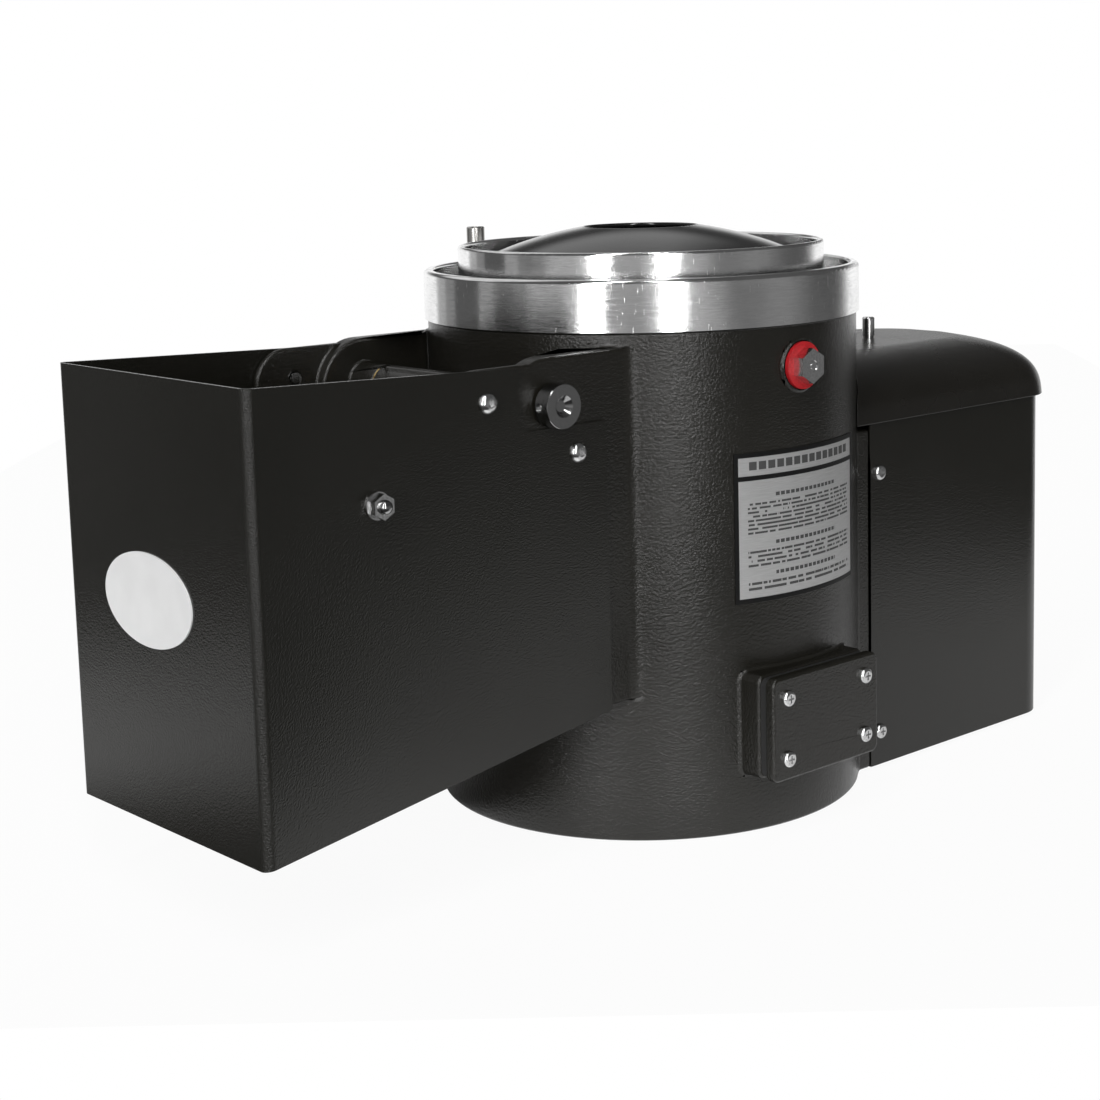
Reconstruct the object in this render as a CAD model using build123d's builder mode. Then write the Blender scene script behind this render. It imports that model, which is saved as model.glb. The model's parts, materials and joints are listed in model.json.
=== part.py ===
from build123d import *
import os
from math import degrees, sqrt

# Bench-top potato rumbler: a cast drum with a turning abrasive plate, a lift-off lid,
# a hinged discharge door inside a sheet chute guard, and a belt drive beside the drum.
# Millimetres. The origin lies on the drum's axis in the plane it stands on. +Z is up,
# +X runs from the chute guard to the motor, and -Y is the side that carries the label.

os.makedirs("parts", exist_ok=True)

# Clearances and overruns
cut_over = 20.0
run_gap = 0.05
thread_gap = 0.1
slip_gap = 0.3
ease_gap = 0.6

# Drum casting
drum_r = 163.0
drum_wall = 8.0
drum_top = 372.0
floor_low = 42.0
floor_thick = 10.0
drum_in_r = drum_r - drum_wall
floor_top = floor_low + floor_thick

# Collar ring and lid
collar_skirt = 8.0
collar_height = 36.5
collar_r = 165.2
collar_skirt_wall = 5.2
collar_lip_wall = 7.7
collar_lip_round = 3.4
collar_ledge = 8.0
collar_bore_r = 150.0
lid_r = 138.8
lid_wall = 4.8
lid_height = 37.5
lid_flange = 4.0
lid_flange_gap = 0.6
lid_spigot_drop = 6.0
lid_spigot_wall = 4.0
lid_lip_round = 2.1
lid_shelf_drop = 18.9
lid_shelf_wide = 9.0
lid_shelf_thick = 3.0
dome_thick = 3.0
dome_hole_r = 43.0
dome_rise = 28.0
dome_crown = 3.6
dome_bead_r = 1.5
dome_gap = 0.3

# Fasteners
button_r = 7.0
button_high = 4.4
button_shank_r = 4.0
button_socket = 5.0
pan_r = 5.9
pan_high = 3.4
pan_shank_r = 3.0
pan_slot = 1.3
bolt_shank_r = 4.0
bolt_head_flats = 13.0
bolt_head_high = 5.3

# Cheeks that carry the door, and the throat of the discharge opening
cheek_out = drum_r - 51.0
cheek_in = cheek_out - 15.0
ear_thick = 6.0
cheek_low = 105.0
cheek_high = 354.0
cheek_reach = drum_r + 65.0
cheek_round = 36.0
ear_reach = drum_r + 116.0
ear_high = 351.0
ear_low = 262.0
ear_round = 26.0
cheek_fillet = 16.0
throat_face = drum_r + 5.0
throat_half = cheek_in - 10.0
throat_low = 142.0
throat_high = 296.0
throat_rim = 10.0
sill_reach = drum_r + 59.0
sill_fall = 22.0
sill_thick = 8.0
sill_drop = 13.0

# Hinge of the discharge door
hinge_x = -(drum_r + 28.0)
hinge_z = 322.0
shaft_r = 8.0
bush_wall = 2.5
bush_rim = 3.0
bush_rim_thick = 1.5
boss_r = 14.0
boss_in = cheek_in - 27.0
knuckle_r = 14.0

# Chute guard
sheet = 2.0
guard_reach = 428.0
guard_end = 143.0
guard_top_far = 357.0
guard_top_near = 349.5
guard_low_far = 60.5
guard_low_near = 102.8
guard_bend = 7.0
notch_reach = drum_r + 56.0
notch_low = 306.5
notch_round = 10.0
guard_half = cheek_out + sheet
guard_screw_spots = [(-246.0, 329.0), (-169.0, 287.5)]
badge_wide = 107.0
badge_tall = 62.0
badge_thick = 1.0
badge_y = 10.0
badge_z = 211.5
bar_x = -336.0
bar_z = 274.7
bar_r = 6.0
bar_end_r = 4.7
bar_nut_flats = 14.6
bar_nut_thick = 6.5
bar_washer_r = 9.0
bar_washer_thick = 1.5
bar_dome_out = 5.0

# Discharge door
door_thick = 8.0
door_gap = 2.0
door_seal_gap = 0.3
door_low = 134.0
door_side_gap = 3.5
door_rib_y = 45.0
door_rib_wide = 8.0
door_rib_high = 4.0
seal_band = 6.0
hood_thick = 9.0
hood_round = 6.0
collar_disc_r = 15.0
collar_disc_thick = 12.5
collar_bore_deep = 8.0
collar_cone_deep = 3.6
collar_cone_r = 7.5
collar_cone_slope = 45.0
grub_r = 3.0
grub_long = 5.0
lever_hub_r = 16.0
lever_hub_thick = 15.0
lever_arm = 122.0
lever_arm_thick = 8.0
lever_arm_wide = 20.0
lever_pin_r = 2.5
lever_edge = 1.5
grip_stud_r = 5.0
grip_r = 11.0
grip_long = 72.0

# Outlet boxes, front and rear, and what closes or leaves them
box_half = 56.0
box_low = 43.5
box_high = 119.0
box_face = 172.0
box_round = 6.0
gasket_thick = 6.0
cover_thick = 8.0
cover_edge = 2.2
passage_half = 32.0
passage_high = 36.0
gasket_margin = 1.6
outlet_screw_x = 41.3
outlet_screw_z = 22.1
outlet_screw_deep = 12.0
spigot_r = 21.0
spigot_wall = 3.0
spigot_long = 46.0

# Water ports
port_z = 334.3
port_boss_r = 17.8
port_boss_out = 1.0
port_thread_r = 10.4
port_washer_r = 17.0
port_washer_thick = 3.0
plug_flats = 22.0
plug_head = 8.6
plug_mark_r = 4.2
plug_mark_deep = 0.6
port_tail = 20.0
elbow_r = 11.0
elbow_bore_r = 6.0
elbow_reach = drum_r + 37.0
elbow_flats = 27.0
elbow_hex = 8.0
pipe_r = 7.5
pipe_wall = 1.0
pipe_top = 424.0
pipe_chamfer = 0.8
pipe_neck = 0.4
inlet_nut_flats = 24.0
inlet_nut_high = 14.0
inlet_body_high = 18.0

# Label on the drum
label_wide = 134.0
label_low = 168.5
label_high = 276.0
label_thick = 0.5
label_turn = -87.4

# Spindle, bearings and rotor plate
housing_flange_r = 62.0
housing_flange = 8.0
housing_hub_r = 38.0
housing_hub_high = 56.0
housing_spigot_r = 32.0
bolt_spread_r = 50.0
bearing_r = 26.0
bearing_wide = 15.0
bearing_shoulder = 3.0
seal_wide = 6.0
spindle_r = 12.5
spindle_low = 12.0
spindle_flange_r = 17.0
spindle_flange = 3.6
drive_square = 18.0
drive_high = 22.0
plate_r = 148.0
plate_thick = 8.0
plate_hub_r = 30.0
plate_hub_high = 14.0
grit_thick = 4.0
grit_in_r = 38.0
wave_count = 3
wave_wide = 44.0
wave_high = 9.0
wave_taper = 40.0
wave_in_r = 52.0
wave_out_r = 138.0
knob_r = 36.0
knob_high = 12.0

# Belt drive
motor_x = 238.0
belt_wide = 12.0
belt_thick = 8.0
belt_mid_z = 24.0
driven_pitch_r = 116.0
motor_pitch_r = 29.0
pulley_wide = 22.0
pulley_rim_up = 1.0
pulley_rim_wall = 12.0
pulley_web = 8.0
pulley_hub_r = 24.0
belt_slot_half = 80.0
belt_slot_high = 36.0

# Motor
motor_r = 66.0
motor_wall = 6.0
motor_low = 52.0
motor_high = 212.0
motor_flange_r = 70.0
motor_flange = 10.0
motor_fin = 3.5
motor_fin_wide = 2.6
motor_fin_count = 28
stator_wall = 19.0
stator_low = 84.0
stator_high = 182.0
air_gap = 0.8
motor_shaft_r = 9.5
motor_bearing_r = 20.0
motor_bearing_wide = 12.0
motor_cap_wall = 6.0
fan_r = 50.0
fan_hub_r = 16.0
fan_low = 218.0
fan_high = 236.0
fan_blade = 3.0
fan_count = 7
cowl_r = 69.0
cowl_low = 204.0
cowl_high = 252.0
cowl_wall = 1.6
cowl_slot_wide = 5.0
cowl_slot_long = 30.0
cowl_slot_count = 12
mount_plate_thick = 8.0
mount_plate_half = 104.0
mount_plate_far = 316.0
mount_hole_r = 38.0
mount_bolt_circle = 55.0
lug_low = 34.0
lug_in = 82.0
lug_far = 172.0
lug_bolt_x = [145.0, 162.0]

# Motor cover, cap and base
wing_x = 117.0
wing_half = 127.0
wing_low = 3.0
wing_high = 271.0
cover_skin = 1.5
cover_gap = 0.5
cover_far = 350.0
cover_round = 30.0
cover_high = 278.0
lug_far_x = 140.0
lug_deep = 16.0
lug_half_high = 12.0
cover_screw_x = 128.0
cover_screw_z = [30.0, 236.0]
cap_half = 131.0
cap_far = 360.0
cap_low = 275.2
cap_high = 321.3
cap_wall = 2.5
cap_far_run = 36.0
cap_round = 40.0
cap_round_gain = 10.0
cap_side_fullness = 3.0
cap_end_fullness = 3.0
cap_levels = [0.0, 0.25, 0.5, 0.7, 0.84, 0.93, 0.975]
stud_x = 265.0
stud_neck = 1.5
stud_neck_r = 4.6
stud_head = 16.0
stud_head_r = 5.4
stud_shank_r = 3.0
stud_shank = 14.0
bracket_wide = 20.0
bracket_thick = 3.0
bracket_low = 205.0
bracket_high = 268.0
bracket_post_r = 8.0
base_thick = 2.0
base_flange = 12.0

# Switch and cable gland on the rear of the motor cover
switch_x = 185.0
switch_z = 190.0
switch_wide = 54.0
switch_tall = 84.0
switch_proud = 15.0
switch_round = 8.0
switch_in_wide = 42.0
switch_in_tall = 66.0
switch_in_deep = 34.0
button_pitch = 36.0
start_r = 11.0
stop_r = 14.0
stop_stem_r = 10.0
push_travel = 4.0
start_proud = 5.0
stop_head = 6.0
push_deep = 12.0
gland_x = 290.0
gland_z = 62.0
gland_thread_r = 10.0
gland_flats = 24.0
gland_hex = 6.0
gland_dome = 16.0
gland_dome_r = 10.6
gland_tip_r = 7.5
gland_bore_r = 4.6
gland_nut = 4.5


def facing(x, y, z, normal):
    """Plane for a fastener: its head looks along normal."""
    return Plane(origin=(x, y, z), z_dir=normal)


def hexagon_r(flats):
    """Corner radius of a hexagon from its width across flats."""
    return flats / sqrt(3)


def ring(inner_r, outer_r, thick):
    """Flat ring from z = 0 upwards."""
    with BuildPart() as disc:
        with BuildSketch():
            Circle(outer_r)
            Circle(inner_r, mode=Mode.SUBTRACT)
        extrude(amount=thick)
    return disc.part


def button_screw(shank_long):
    """Socket button-head screw, head above z = 0."""
    with BuildPart() as screw:
        with BuildSketch(Plane.XZ):
            with BuildLine():
                Line((0, -shank_long), (button_shank_r, -shank_long))
                Line((button_shank_r, -shank_long), (button_shank_r, 0))
                Line((button_shank_r, 0), (button_r, 0))
                Line((button_r, 0), (button_r, button_high / 5))
                ThreePointArc(
                    (button_r, button_high / 5),
                    (button_r * 0.82, button_high * 0.72),
                    (button_r * 0.4, button_high),
                )
                Line((button_r * 0.4, button_high), (0, button_high))
                Line((0, button_high), (0, -shank_long))
            make_face()
        revolve(axis=Axis.Z)
        with BuildSketch(Plane.XY.offset(button_high)):
            RegularPolygon(hexagon_r(button_socket), 6)
        extrude(amount=-button_high * 0.6, mode=Mode.SUBTRACT)
    return screw.part


def pan_screw(shank_long):
    """Cross-recessed pan-head screw, head above z = 0."""
    with BuildPart() as screw:
        with BuildSketch(Plane.XZ):
            with BuildLine():
                Line((0, -shank_long), (pan_shank_r, -shank_long))
                Line((pan_shank_r, -shank_long), (pan_shank_r, 0))
                Line((pan_shank_r, 0), (pan_r, 0))
                Line((pan_r, 0), (pan_r, pan_high / 3))
                ThreePointArc((pan_r, pan_high / 3), (pan_r * 0.87, pan_high * 0.8), (pan_r * 0.6, pan_high))
                Line((pan_r * 0.6, pan_high), (0, pan_high))
                Line((0, pan_high), (0, -shank_long))
            make_face()
        revolve(axis=Axis.Z)
        with BuildSketch(Plane.XY.offset(pan_high)):
            Rectangle(pan_r, pan_slot)
            Rectangle(pan_slot, pan_r)
        extrude(amount=-pan_high * 0.6, mode=Mode.SUBTRACT)
    return screw.part


def hex_bolt(shank_long):
    """Hexagon-head screw, head above z = 0."""
    with BuildPart() as bolt:
        with BuildSketch():
            RegularPolygon(hexagon_r(bolt_head_flats), 6)
        extrude(amount=bolt_head_high)
        with BuildSketch():
            Circle(bolt_shank_r)
        extrude(amount=-shank_long)
    return bolt.part


# Drum casting
box_mid = (box_low + box_high) / 2
box_tall = box_high - box_low
boss_face = drum_r + port_boss_out
shaft_hole_r = shaft_r + run_gap + bush_wall
cover_in = wing_half - cover_skin
mount_plate_low = motor_low - mount_plate_thick
lug_mid = (lug_in + mount_plate_half) / 2
collar_low = drum_top - collar_skirt
blend_x = -sqrt(drum_r**2 - cheek_out**2)
outlet_spots = [(sx * outlet_screw_x, box_mid + sz * outlet_screw_z) for sx in (-1, 1) for sz in (-1, 1)]

with BuildPart() as drum_body:
    with BuildSketch():
        Circle(drum_r)
    extrude(amount=drum_top)
    for side in (1, -1):
        with BuildSketch(Plane.XZ.offset(side * cheek_in)) as cheek_outline:
            with BuildLine():
                Polyline(
                    (0, cheek_low),
                    (-throat_face, cheek_low),
                    (-cheek_reach, ear_low - 2 * cheek_round),
                    (-cheek_reach, cheek_high),
                    (0, cheek_high),
                    close=True,
                )
            make_face()
            fillet(cheek_outline.vertices().sort_by(Axis.X)[:2], cheek_round)
        extrude(amount=side * (cheek_out - cheek_in))
        with BuildSketch(Plane.XY.offset(cheek_low)) as blend:
            Circle(drum_r)
            with Locations((0, side * cheek_in)):
                Rectangle(throat_face, cheek_out - cheek_in, align=(Align.MAX, Align.MIN if side > 0 else Align.MAX))
            fillet(blend.vertices().sort_by_distance((blend_x, side * cheek_out))[0], cheek_fillet)
        extrude(amount=cheek_high - cheek_low)
        with BuildSketch(Plane.XZ.offset(side * (cheek_out - ear_thick))) as ear_outline:
            with BuildLine():
                Polyline(
                    (0, cheek_low),
                    (-throat_face, cheek_low),
                    (-ear_reach, ear_low),
                    (-ear_reach, ear_high),
                    (0, ear_high),
                    close=True,
                )
            make_face()
            fillet(ear_outline.vertices().sort_by(Axis.X)[:2], ear_round)
        extrude(amount=side * ear_thick)
        with BuildSketch(Plane.XZ.offset(side * boss_in)):
            with Locations((hinge_x, hinge_z)):
                Circle(boss_r)
        extrude(amount=side * (cheek_out - boss_in))
        with BuildSketch(Plane.XZ):
            with Locations((0, box_mid)):
                RectangleRounded(2 * box_half, box_tall, box_round)
        extrude(amount=side * box_face)
        with BuildSketch(Plane.XZ):
            with Locations((0, port_z)):
                Circle(port_boss_r)
        extrude(amount=side * boss_face)
    # Throat frame and sloping sill of the discharge opening
    with BuildSketch(Plane.XY.offset(throat_low - throat_rim)):
        with Locations((-throat_face / 2, 0)):
            Rectangle(throat_face, 2 * cheek_in)
    extrude(amount=throat_high - throat_low + 2 * throat_rim)
    with BuildSketch(Plane.XZ):
        with BuildLine():
            Polyline(
                (0, throat_low - sill_drop),
                (-throat_face, throat_low - sill_drop),
                (-sill_reach, throat_low - sill_drop - sill_fall),
                (-sill_reach, throat_low - sill_drop - sill_fall - sill_thick),
                (-throat_face, cheek_low),
                (0, cheek_low),
                close=True,
            )
        make_face()
    extrude(amount=cheek_in, both=True)
    # Wings and lugs that carry the motor cover and the motor plate
    for side in (1, -1):
        outer_align = Align.MAX if side > 0 else Align.MIN
        with BuildSketch(Plane.XY.offset(wing_low)):
            with Locations((wing_x, side * wing_half)):
                Rectangle(wing_x / 2, wing_half - 2 * lug_deep, align=(Align.MAX, outer_align))
        extrude(amount=wing_high - wing_low)
        with BuildSketch(Plane.XY.offset(lug_low)):
            with Locations((wing_x / 2, side * lug_mid)):
                Rectangle(lug_far - wing_x / 2, mount_plate_half - lug_in, align=(Align.MIN, Align.CENTER))
        extrude(amount=mount_plate_low - lug_low)
        for height in cover_screw_z:
            with BuildSketch(Plane.XY.offset(height - lug_half_high)):
                with Locations((wing_x - lug_deep, side * cover_in)):
                    Rectangle(lug_far_x - wing_x + lug_deep, lug_deep, align=(Align.MIN, outer_align))
            extrude(amount=2 * lug_half_high)
    # Chamber above the floor and hollow base below it
    with BuildSketch(Plane.XY.offset(floor_top)):
        Circle(drum_in_r)
    extrude(amount=drum_top, mode=Mode.SUBTRACT)
    with BuildSketch():
        Circle(drum_in_r)
    extrude(amount=floor_low, mode=Mode.SUBTRACT)
    with BuildSketch():
        Circle(housing_spigot_r + thread_gap)
        with PolarLocations(bolt_spread_r, 4, 45):
            Circle(bolt_shank_r + thread_gap)
    extrude(amount=floor_top + cut_over, mode=Mode.SUBTRACT)
    with BuildSketch():
        with Locations((drum_r, 0)):
            Rectangle(drum_r, 2 * belt_slot_half)
    extrude(amount=belt_slot_high, mode=Mode.SUBTRACT)
    # Discharge opening
    with BuildSketch(Plane.YZ):
        with Locations((0, (throat_low + throat_high) / 2)):
            RectangleRounded(2 * throat_half, throat_high - throat_low, throat_rim)
    extrude(amount=-(throat_face + cut_over), mode=Mode.SUBTRACT)
    # Passages, tapped holes and bores
    for side in (1, -1):
        with BuildSketch(Plane.XZ.offset(side * drum_r / 2)):
            with Locations((0, box_mid)):
                RectangleRounded(2 * passage_half, passage_high, box_round)
            with Locations((0, port_z)):
                Circle(port_thread_r + thread_gap)
        extrude(amount=side * drum_r, mode=Mode.SUBTRACT)
        with BuildSketch(Plane.XZ.offset(side * box_face)):
            with Locations(*outlet_spots):
                Circle(pan_shank_r + thread_gap)
        extrude(amount=-side * (outlet_screw_deep + slip_gap), mode=Mode.SUBTRACT)
        with BuildSketch(Plane.XZ.offset(side * (boss_in - cut_over))):
            with Locations((hinge_x, hinge_z)):
                Circle(shaft_hole_r)
        extrude(amount=side * guard_half, mode=Mode.SUBTRACT)
        with BuildSketch(Plane.XZ.offset(side * guard_half)):
            with Locations(*guard_screw_spots):
                Circle(button_shank_r + thread_gap)
        extrude(amount=-side * (2 * sheet + ear_thick), mode=Mode.SUBTRACT)
        with BuildSketch(Plane.XZ.offset(side * cover_in)):
            with Locations(*[(cover_screw_x, height) for height in cover_screw_z]):
                Circle(pan_shank_r + thread_gap)
        extrude(amount=-side * (outlet_screw_deep + slip_gap), mode=Mode.SUBTRACT)
    with BuildSketch(Plane.XY.offset(lug_low)):
        with Locations(*[(x, side * lug_mid) for x in lug_bolt_x for side in (-1, 1)]):
            Circle(bolt_shank_r + thread_gap)
    extrude(amount=mount_plate_low - lug_low, mode=Mode.SUBTRACT)
    # Turned seat of the collar ring
    with BuildSketch(Plane.XY.offset(collar_low)):
        Circle(drum_r + cut_over)
        Circle(collar_r - collar_skirt_wall - slip_gap / 2, mode=Mode.SUBTRACT)
    extrude(amount=collar_skirt + cut_over, mode=Mode.SUBTRACT)
drum_body.part.label = "drum_body"
export_step(drum_body.part, "parts/drum_body.step")

# Collar ring, turned aluminium, seated on the drum's rim
collar_high = collar_low + collar_height
ledge_high = drum_top + collar_ledge
collar_in_r = collar_r - collar_lip_wall

with BuildPart() as collar_ring:
    with BuildSketch(Plane.XZ) as collar_section:
        with BuildLine():
            Polyline(
                (collar_r - collar_skirt_wall, collar_low),
                (collar_r, collar_low),
                (collar_r, collar_high),
                (collar_in_r, collar_high),
                (collar_in_r, ledge_high),
                (collar_bore_r, ledge_high),
                (collar_bore_r, drum_top),
                (collar_r - collar_skirt_wall, drum_top),
                close=True,
            )
        make_face()
        fillet(collar_section.vertices().group_by(Axis.Y)[-1].sort_by(Axis.X)[-1], collar_lip_round)
        fillet(collar_section.vertices().group_by(Axis.Y)[-1].sort_by(Axis.X)[0], collar_lip_round / 2)
    revolve(axis=Axis.Z)
collar_ring.part.label = "collar_ring"
export_step(collar_ring.part, "parts/collar_ring.step")

# Lift-off lid: turned ring with a flange on the collar's ledge and a black dome in it
lid_top = ledge_high + lid_height
lid_in_r = lid_r - lid_wall
shelf_z = lid_top - lid_shelf_drop

with BuildPart() as lid_ring:
    with BuildSketch(Plane.XZ) as lid_section:
        with BuildLine():
            Polyline(
                (lid_in_r, ledge_high),
                (collar_in_r - lid_flange_gap, ledge_high),
                (collar_in_r - lid_flange_gap, ledge_high + lid_flange),
                (lid_r, ledge_high + lid_flange),
                (lid_r, lid_top),
                (lid_in_r, lid_top),
                close=True,
            )
        make_face()
        fillet(lid_section.vertices().group_by(Axis.Y)[-1], lid_lip_round)
        with Locations((lid_in_r, shelf_z)):
            Rectangle(lid_shelf_wide, lid_shelf_thick, align=(Align.MAX, Align.MAX))
        with Locations((collar_bore_r - lid_flange_gap, ledge_high)):
            Rectangle(lid_spigot_wall, lid_spigot_drop, align=(Align.MAX, Align.MAX))
    revolve(axis=Axis.Z)
lid_ring.part.label = "lid_ring"
export_step(lid_ring.part, "parts/lid_ring.step")

dome_r = lid_in_r - dome_gap
dome_foot = shelf_z + dome_thick
dome_mid_r = (dome_hole_r + dome_r) / 2
dome_mid_z = dome_foot + dome_rise / 2 + dome_crown

with BuildPart() as lid_dome:
    with BuildSketch(Plane.XZ):
        with BuildLine():
            ThreePointArc((dome_hole_r, dome_foot + dome_rise), (dome_mid_r, dome_mid_z), (dome_r, dome_foot))
            Line((dome_r, dome_foot), (dome_r, shelf_z))
            Line((dome_r, shelf_z), (lid_in_r - lid_shelf_wide, shelf_z))
            ThreePointArc(
                (lid_in_r - lid_shelf_wide, shelf_z),
                (dome_mid_r, dome_mid_z - dome_thick),
                (dome_hole_r, dome_foot + dome_rise - dome_thick),
            )
            Line((dome_hole_r, dome_foot + dome_rise - dome_thick), (dome_hole_r, dome_foot + dome_rise))
        make_face()
        with Locations((dome_hole_r + dome_bead_r / 2, dome_foot + dome_rise - dome_thick / 2)):
            Circle(dome_bead_r)
    revolve(axis=Axis.Z)
lid_dome.part.label = "lid_dome"
export_step(lid_dome.part, "parts/lid_dome.step")

# Blank label plate wrapped on the drum, centred on the front
label_half_turn = degrees(label_wide / drum_r) / 2
label_out_r = drum_r + slip_gap + label_thick

with BuildPart() as label_plate:
    with BuildSketch(Plane.XY.offset(label_low)):
        with BuildLine():
            inner = CenterArc((0, 0), drum_r + slip_gap, label_turn - label_half_turn, 2 * label_half_turn)
            outer = CenterArc((0, 0), label_out_r, label_turn - label_half_turn, 2 * label_half_turn)
            Line(inner @ 0, outer @ 0)
            Line(inner @ 1, outer @ 1)
        make_face()
    extrude(amount=label_high - label_low)
label_plate.part.label = "label_plate"
export_step(label_plate.part, "parts/label_plate.step")

# Gaskets of the two outlet boxes, each on its own box
gasket_face = box_face + gasket_thick
gasket_nodes = {"outlet_cover_gasket": 1, "waste_outlet_gasket": -1}

for gasket_name, side in gasket_nodes.items():
    with BuildPart() as gasket:
        with BuildSketch(Plane.XZ.offset(side * box_face)):
            with Locations((0, box_mid)):
                RectangleRounded(2 * (box_half - gasket_margin), box_tall - 2 * gasket_margin, box_round)
                RectangleRounded(2 * passage_half, passage_high, box_round, mode=Mode.SUBTRACT)
            with Locations(*outlet_spots):
                Circle(pan_shank_r + thread_gap, mode=Mode.SUBTRACT)
        extrude(amount=side * gasket_thick)
    gasket.part.label = gasket_name
    export_step(gasket.part, f"parts/{gasket_name}.step")

# Blanking plate on the front box
cover_face = gasket_face + cover_thick

with BuildPart() as outlet_cover:
    with BuildSketch(Plane.XZ.offset(gasket_face)):
        with Locations((0, box_mid)):
            RectangleRounded(2 * box_half, box_tall, box_round)
    extrude(amount=cover_thick)
    fillet(outlet_cover.faces().sort_by(Axis.Y)[0].edges(), cover_edge)
    with BuildSketch(Plane.XZ.offset(cover_face)):
        with Locations(*outlet_spots):
            Circle(pan_shank_r + thread_gap)
    extrude(amount=-cover_thick, mode=Mode.SUBTRACT)
outlet_cover.part.label = "outlet_cover"
export_step(outlet_cover.part, "parts/outlet_cover.step")

# Waste spigot on the rear box

with BuildPart() as waste_spigot:
    with BuildSketch(Plane.XZ.offset(-gasket_face)):
        with Locations((0, box_mid)):
            RectangleRounded(2 * box_half, box_tall, box_round)
    extrude(amount=-cover_thick)
    fillet(waste_spigot.faces().sort_by(Axis.Y)[-1].edges(), cover_edge)
    with BuildSketch(Plane.XZ.offset(-gasket_face)):
        with Locations((0, box_mid)):
            Circle(spigot_r)
    extrude(amount=-(cover_thick + spigot_long))
    with BuildSketch(Plane.XZ.offset(-gasket_face)):
        with Locations((0, box_mid)):
            Circle(spigot_r - spigot_wall)
        with Locations(*outlet_spots):
            Circle(pan_shank_r + thread_gap)
    extrude(amount=-(cover_thick + spigot_long), mode=Mode.SUBTRACT)
waste_spigot.part.label = "waste_spigot"
export_step(waste_spigot.part, "parts/waste_spigot.step")

# Screws of both outlet boxes
outlet_screw = pan_screw(cover_thick + gasket_thick + outlet_screw_deep)

with BuildPart() as outlet_screws:
    with Locations(*[facing(x, -side * cover_face, z, (0, -side, 0)) for side in (1, -1) for x, z in outlet_spots]):
        add(outlet_screw)
outlet_screws.part.label = "outlet_screws"
export_step(outlet_screws.part, "parts/outlet_screws.step")

# Blanked front water port: fibre washer and hexagon plug
washer_face = boss_face + port_washer_thick
port_tail_in = washer_face - port_tail

with BuildPart() as plug_washer:
    with BuildSketch(Plane.XZ.offset(boss_face)):
        with Locations((0, port_z)):
            Circle(port_washer_r)
            Circle(port_thread_r + thread_gap, mode=Mode.SUBTRACT)
    extrude(amount=port_washer_thick)
plug_washer.part.label = "plug_washer"
export_step(plug_washer.part, "parts/plug_washer.step")

with BuildPart() as water_plug:
    with BuildSketch(Plane.XZ.offset(washer_face)):
        with Locations((0, port_z)):
            RegularPolygon(hexagon_r(plug_flats), 6, rotation=30)
    extrude(amount=plug_head)
    with BuildSketch(Plane.XZ.offset(port_tail_in)):
        with Locations((0, port_z)):
            Circle(port_thread_r)
    extrude(amount=port_tail)
    with BuildSketch(Plane.XZ.offset(washer_face + plug_head)):
        with Locations((0, port_z)):
            Circle(plug_mark_r)
            Circle(plug_mark_r / 2, mode=Mode.SUBTRACT)
    extrude(amount=-plug_mark_deep, mode=Mode.SUBTRACT)
water_plug.part.label = "water_plug"
export_step(water_plug.part, "parts/water_plug.step")

# Rear water inlet: washer, elbow, compression nut and rising pipe
inlet_body_top = port_z + inlet_body_high
pipe_shoulder = inlet_body_top + inlet_nut_high + run_gap

with BuildPart() as inlet_washer:
    with BuildSketch(Plane.XZ.offset(-boss_face)):
        with Locations((0, port_z)):
            Circle(port_washer_r)
            Circle(port_thread_r + thread_gap, mode=Mode.SUBTRACT)
    extrude(amount=-port_washer_thick)
inlet_washer.part.label = "inlet_washer"
export_step(inlet_washer.part, "parts/inlet_washer.step")

with BuildPart() as inlet_elbow:
    with BuildSketch(Plane.XZ.offset(-port_tail_in)):
        with Locations((0, port_z)):
            Circle(port_thread_r)
    extrude(amount=-port_tail)
    with BuildSketch(Plane.XZ.offset(-washer_face)):
        with Locations((0, port_z)):
            RegularPolygon(hexagon_r(elbow_flats), 6)
    extrude(amount=-elbow_hex)
    with BuildSketch(Plane.XZ.offset(-washer_face)):
        with Locations((0, port_z)):
            Circle(elbow_r)
    extrude(amount=-(elbow_reach - washer_face))
    with BuildSketch(Plane.XY.offset(port_z)):
        with Locations((0, elbow_reach)):
            Circle(elbow_r)
    extrude(amount=inlet_body_high)
    with Locations((0, elbow_reach, port_z)):
        Sphere(elbow_r)
    with BuildSketch(Plane.XZ.offset(-port_tail_in)):
        with Locations((0, port_z)):
            Circle(elbow_bore_r)
    extrude(amount=-(elbow_reach - port_tail_in), mode=Mode.SUBTRACT)
    with BuildSketch(Plane.XY.offset(port_z)):
        with Locations((0, elbow_reach)):
            Circle(elbow_bore_r)
    extrude(amount=inlet_body_high, mode=Mode.SUBTRACT)
inlet_elbow.part.label = "inlet_elbow"
export_step(inlet_elbow.part, "parts/inlet_elbow.step")

with BuildPart() as inlet_nut:
    with BuildSketch(Plane.XY.offset(inlet_body_top)):
        with Locations((0, elbow_reach)):
            RegularPolygon(hexagon_r(inlet_nut_flats), 6)
            Circle(pipe_r - pipe_neck + run_gap, mode=Mode.SUBTRACT)
    extrude(amount=inlet_nut_high)
inlet_nut.part.label = "inlet_nut"
export_step(inlet_nut.part, "parts/inlet_nut.step")

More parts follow.
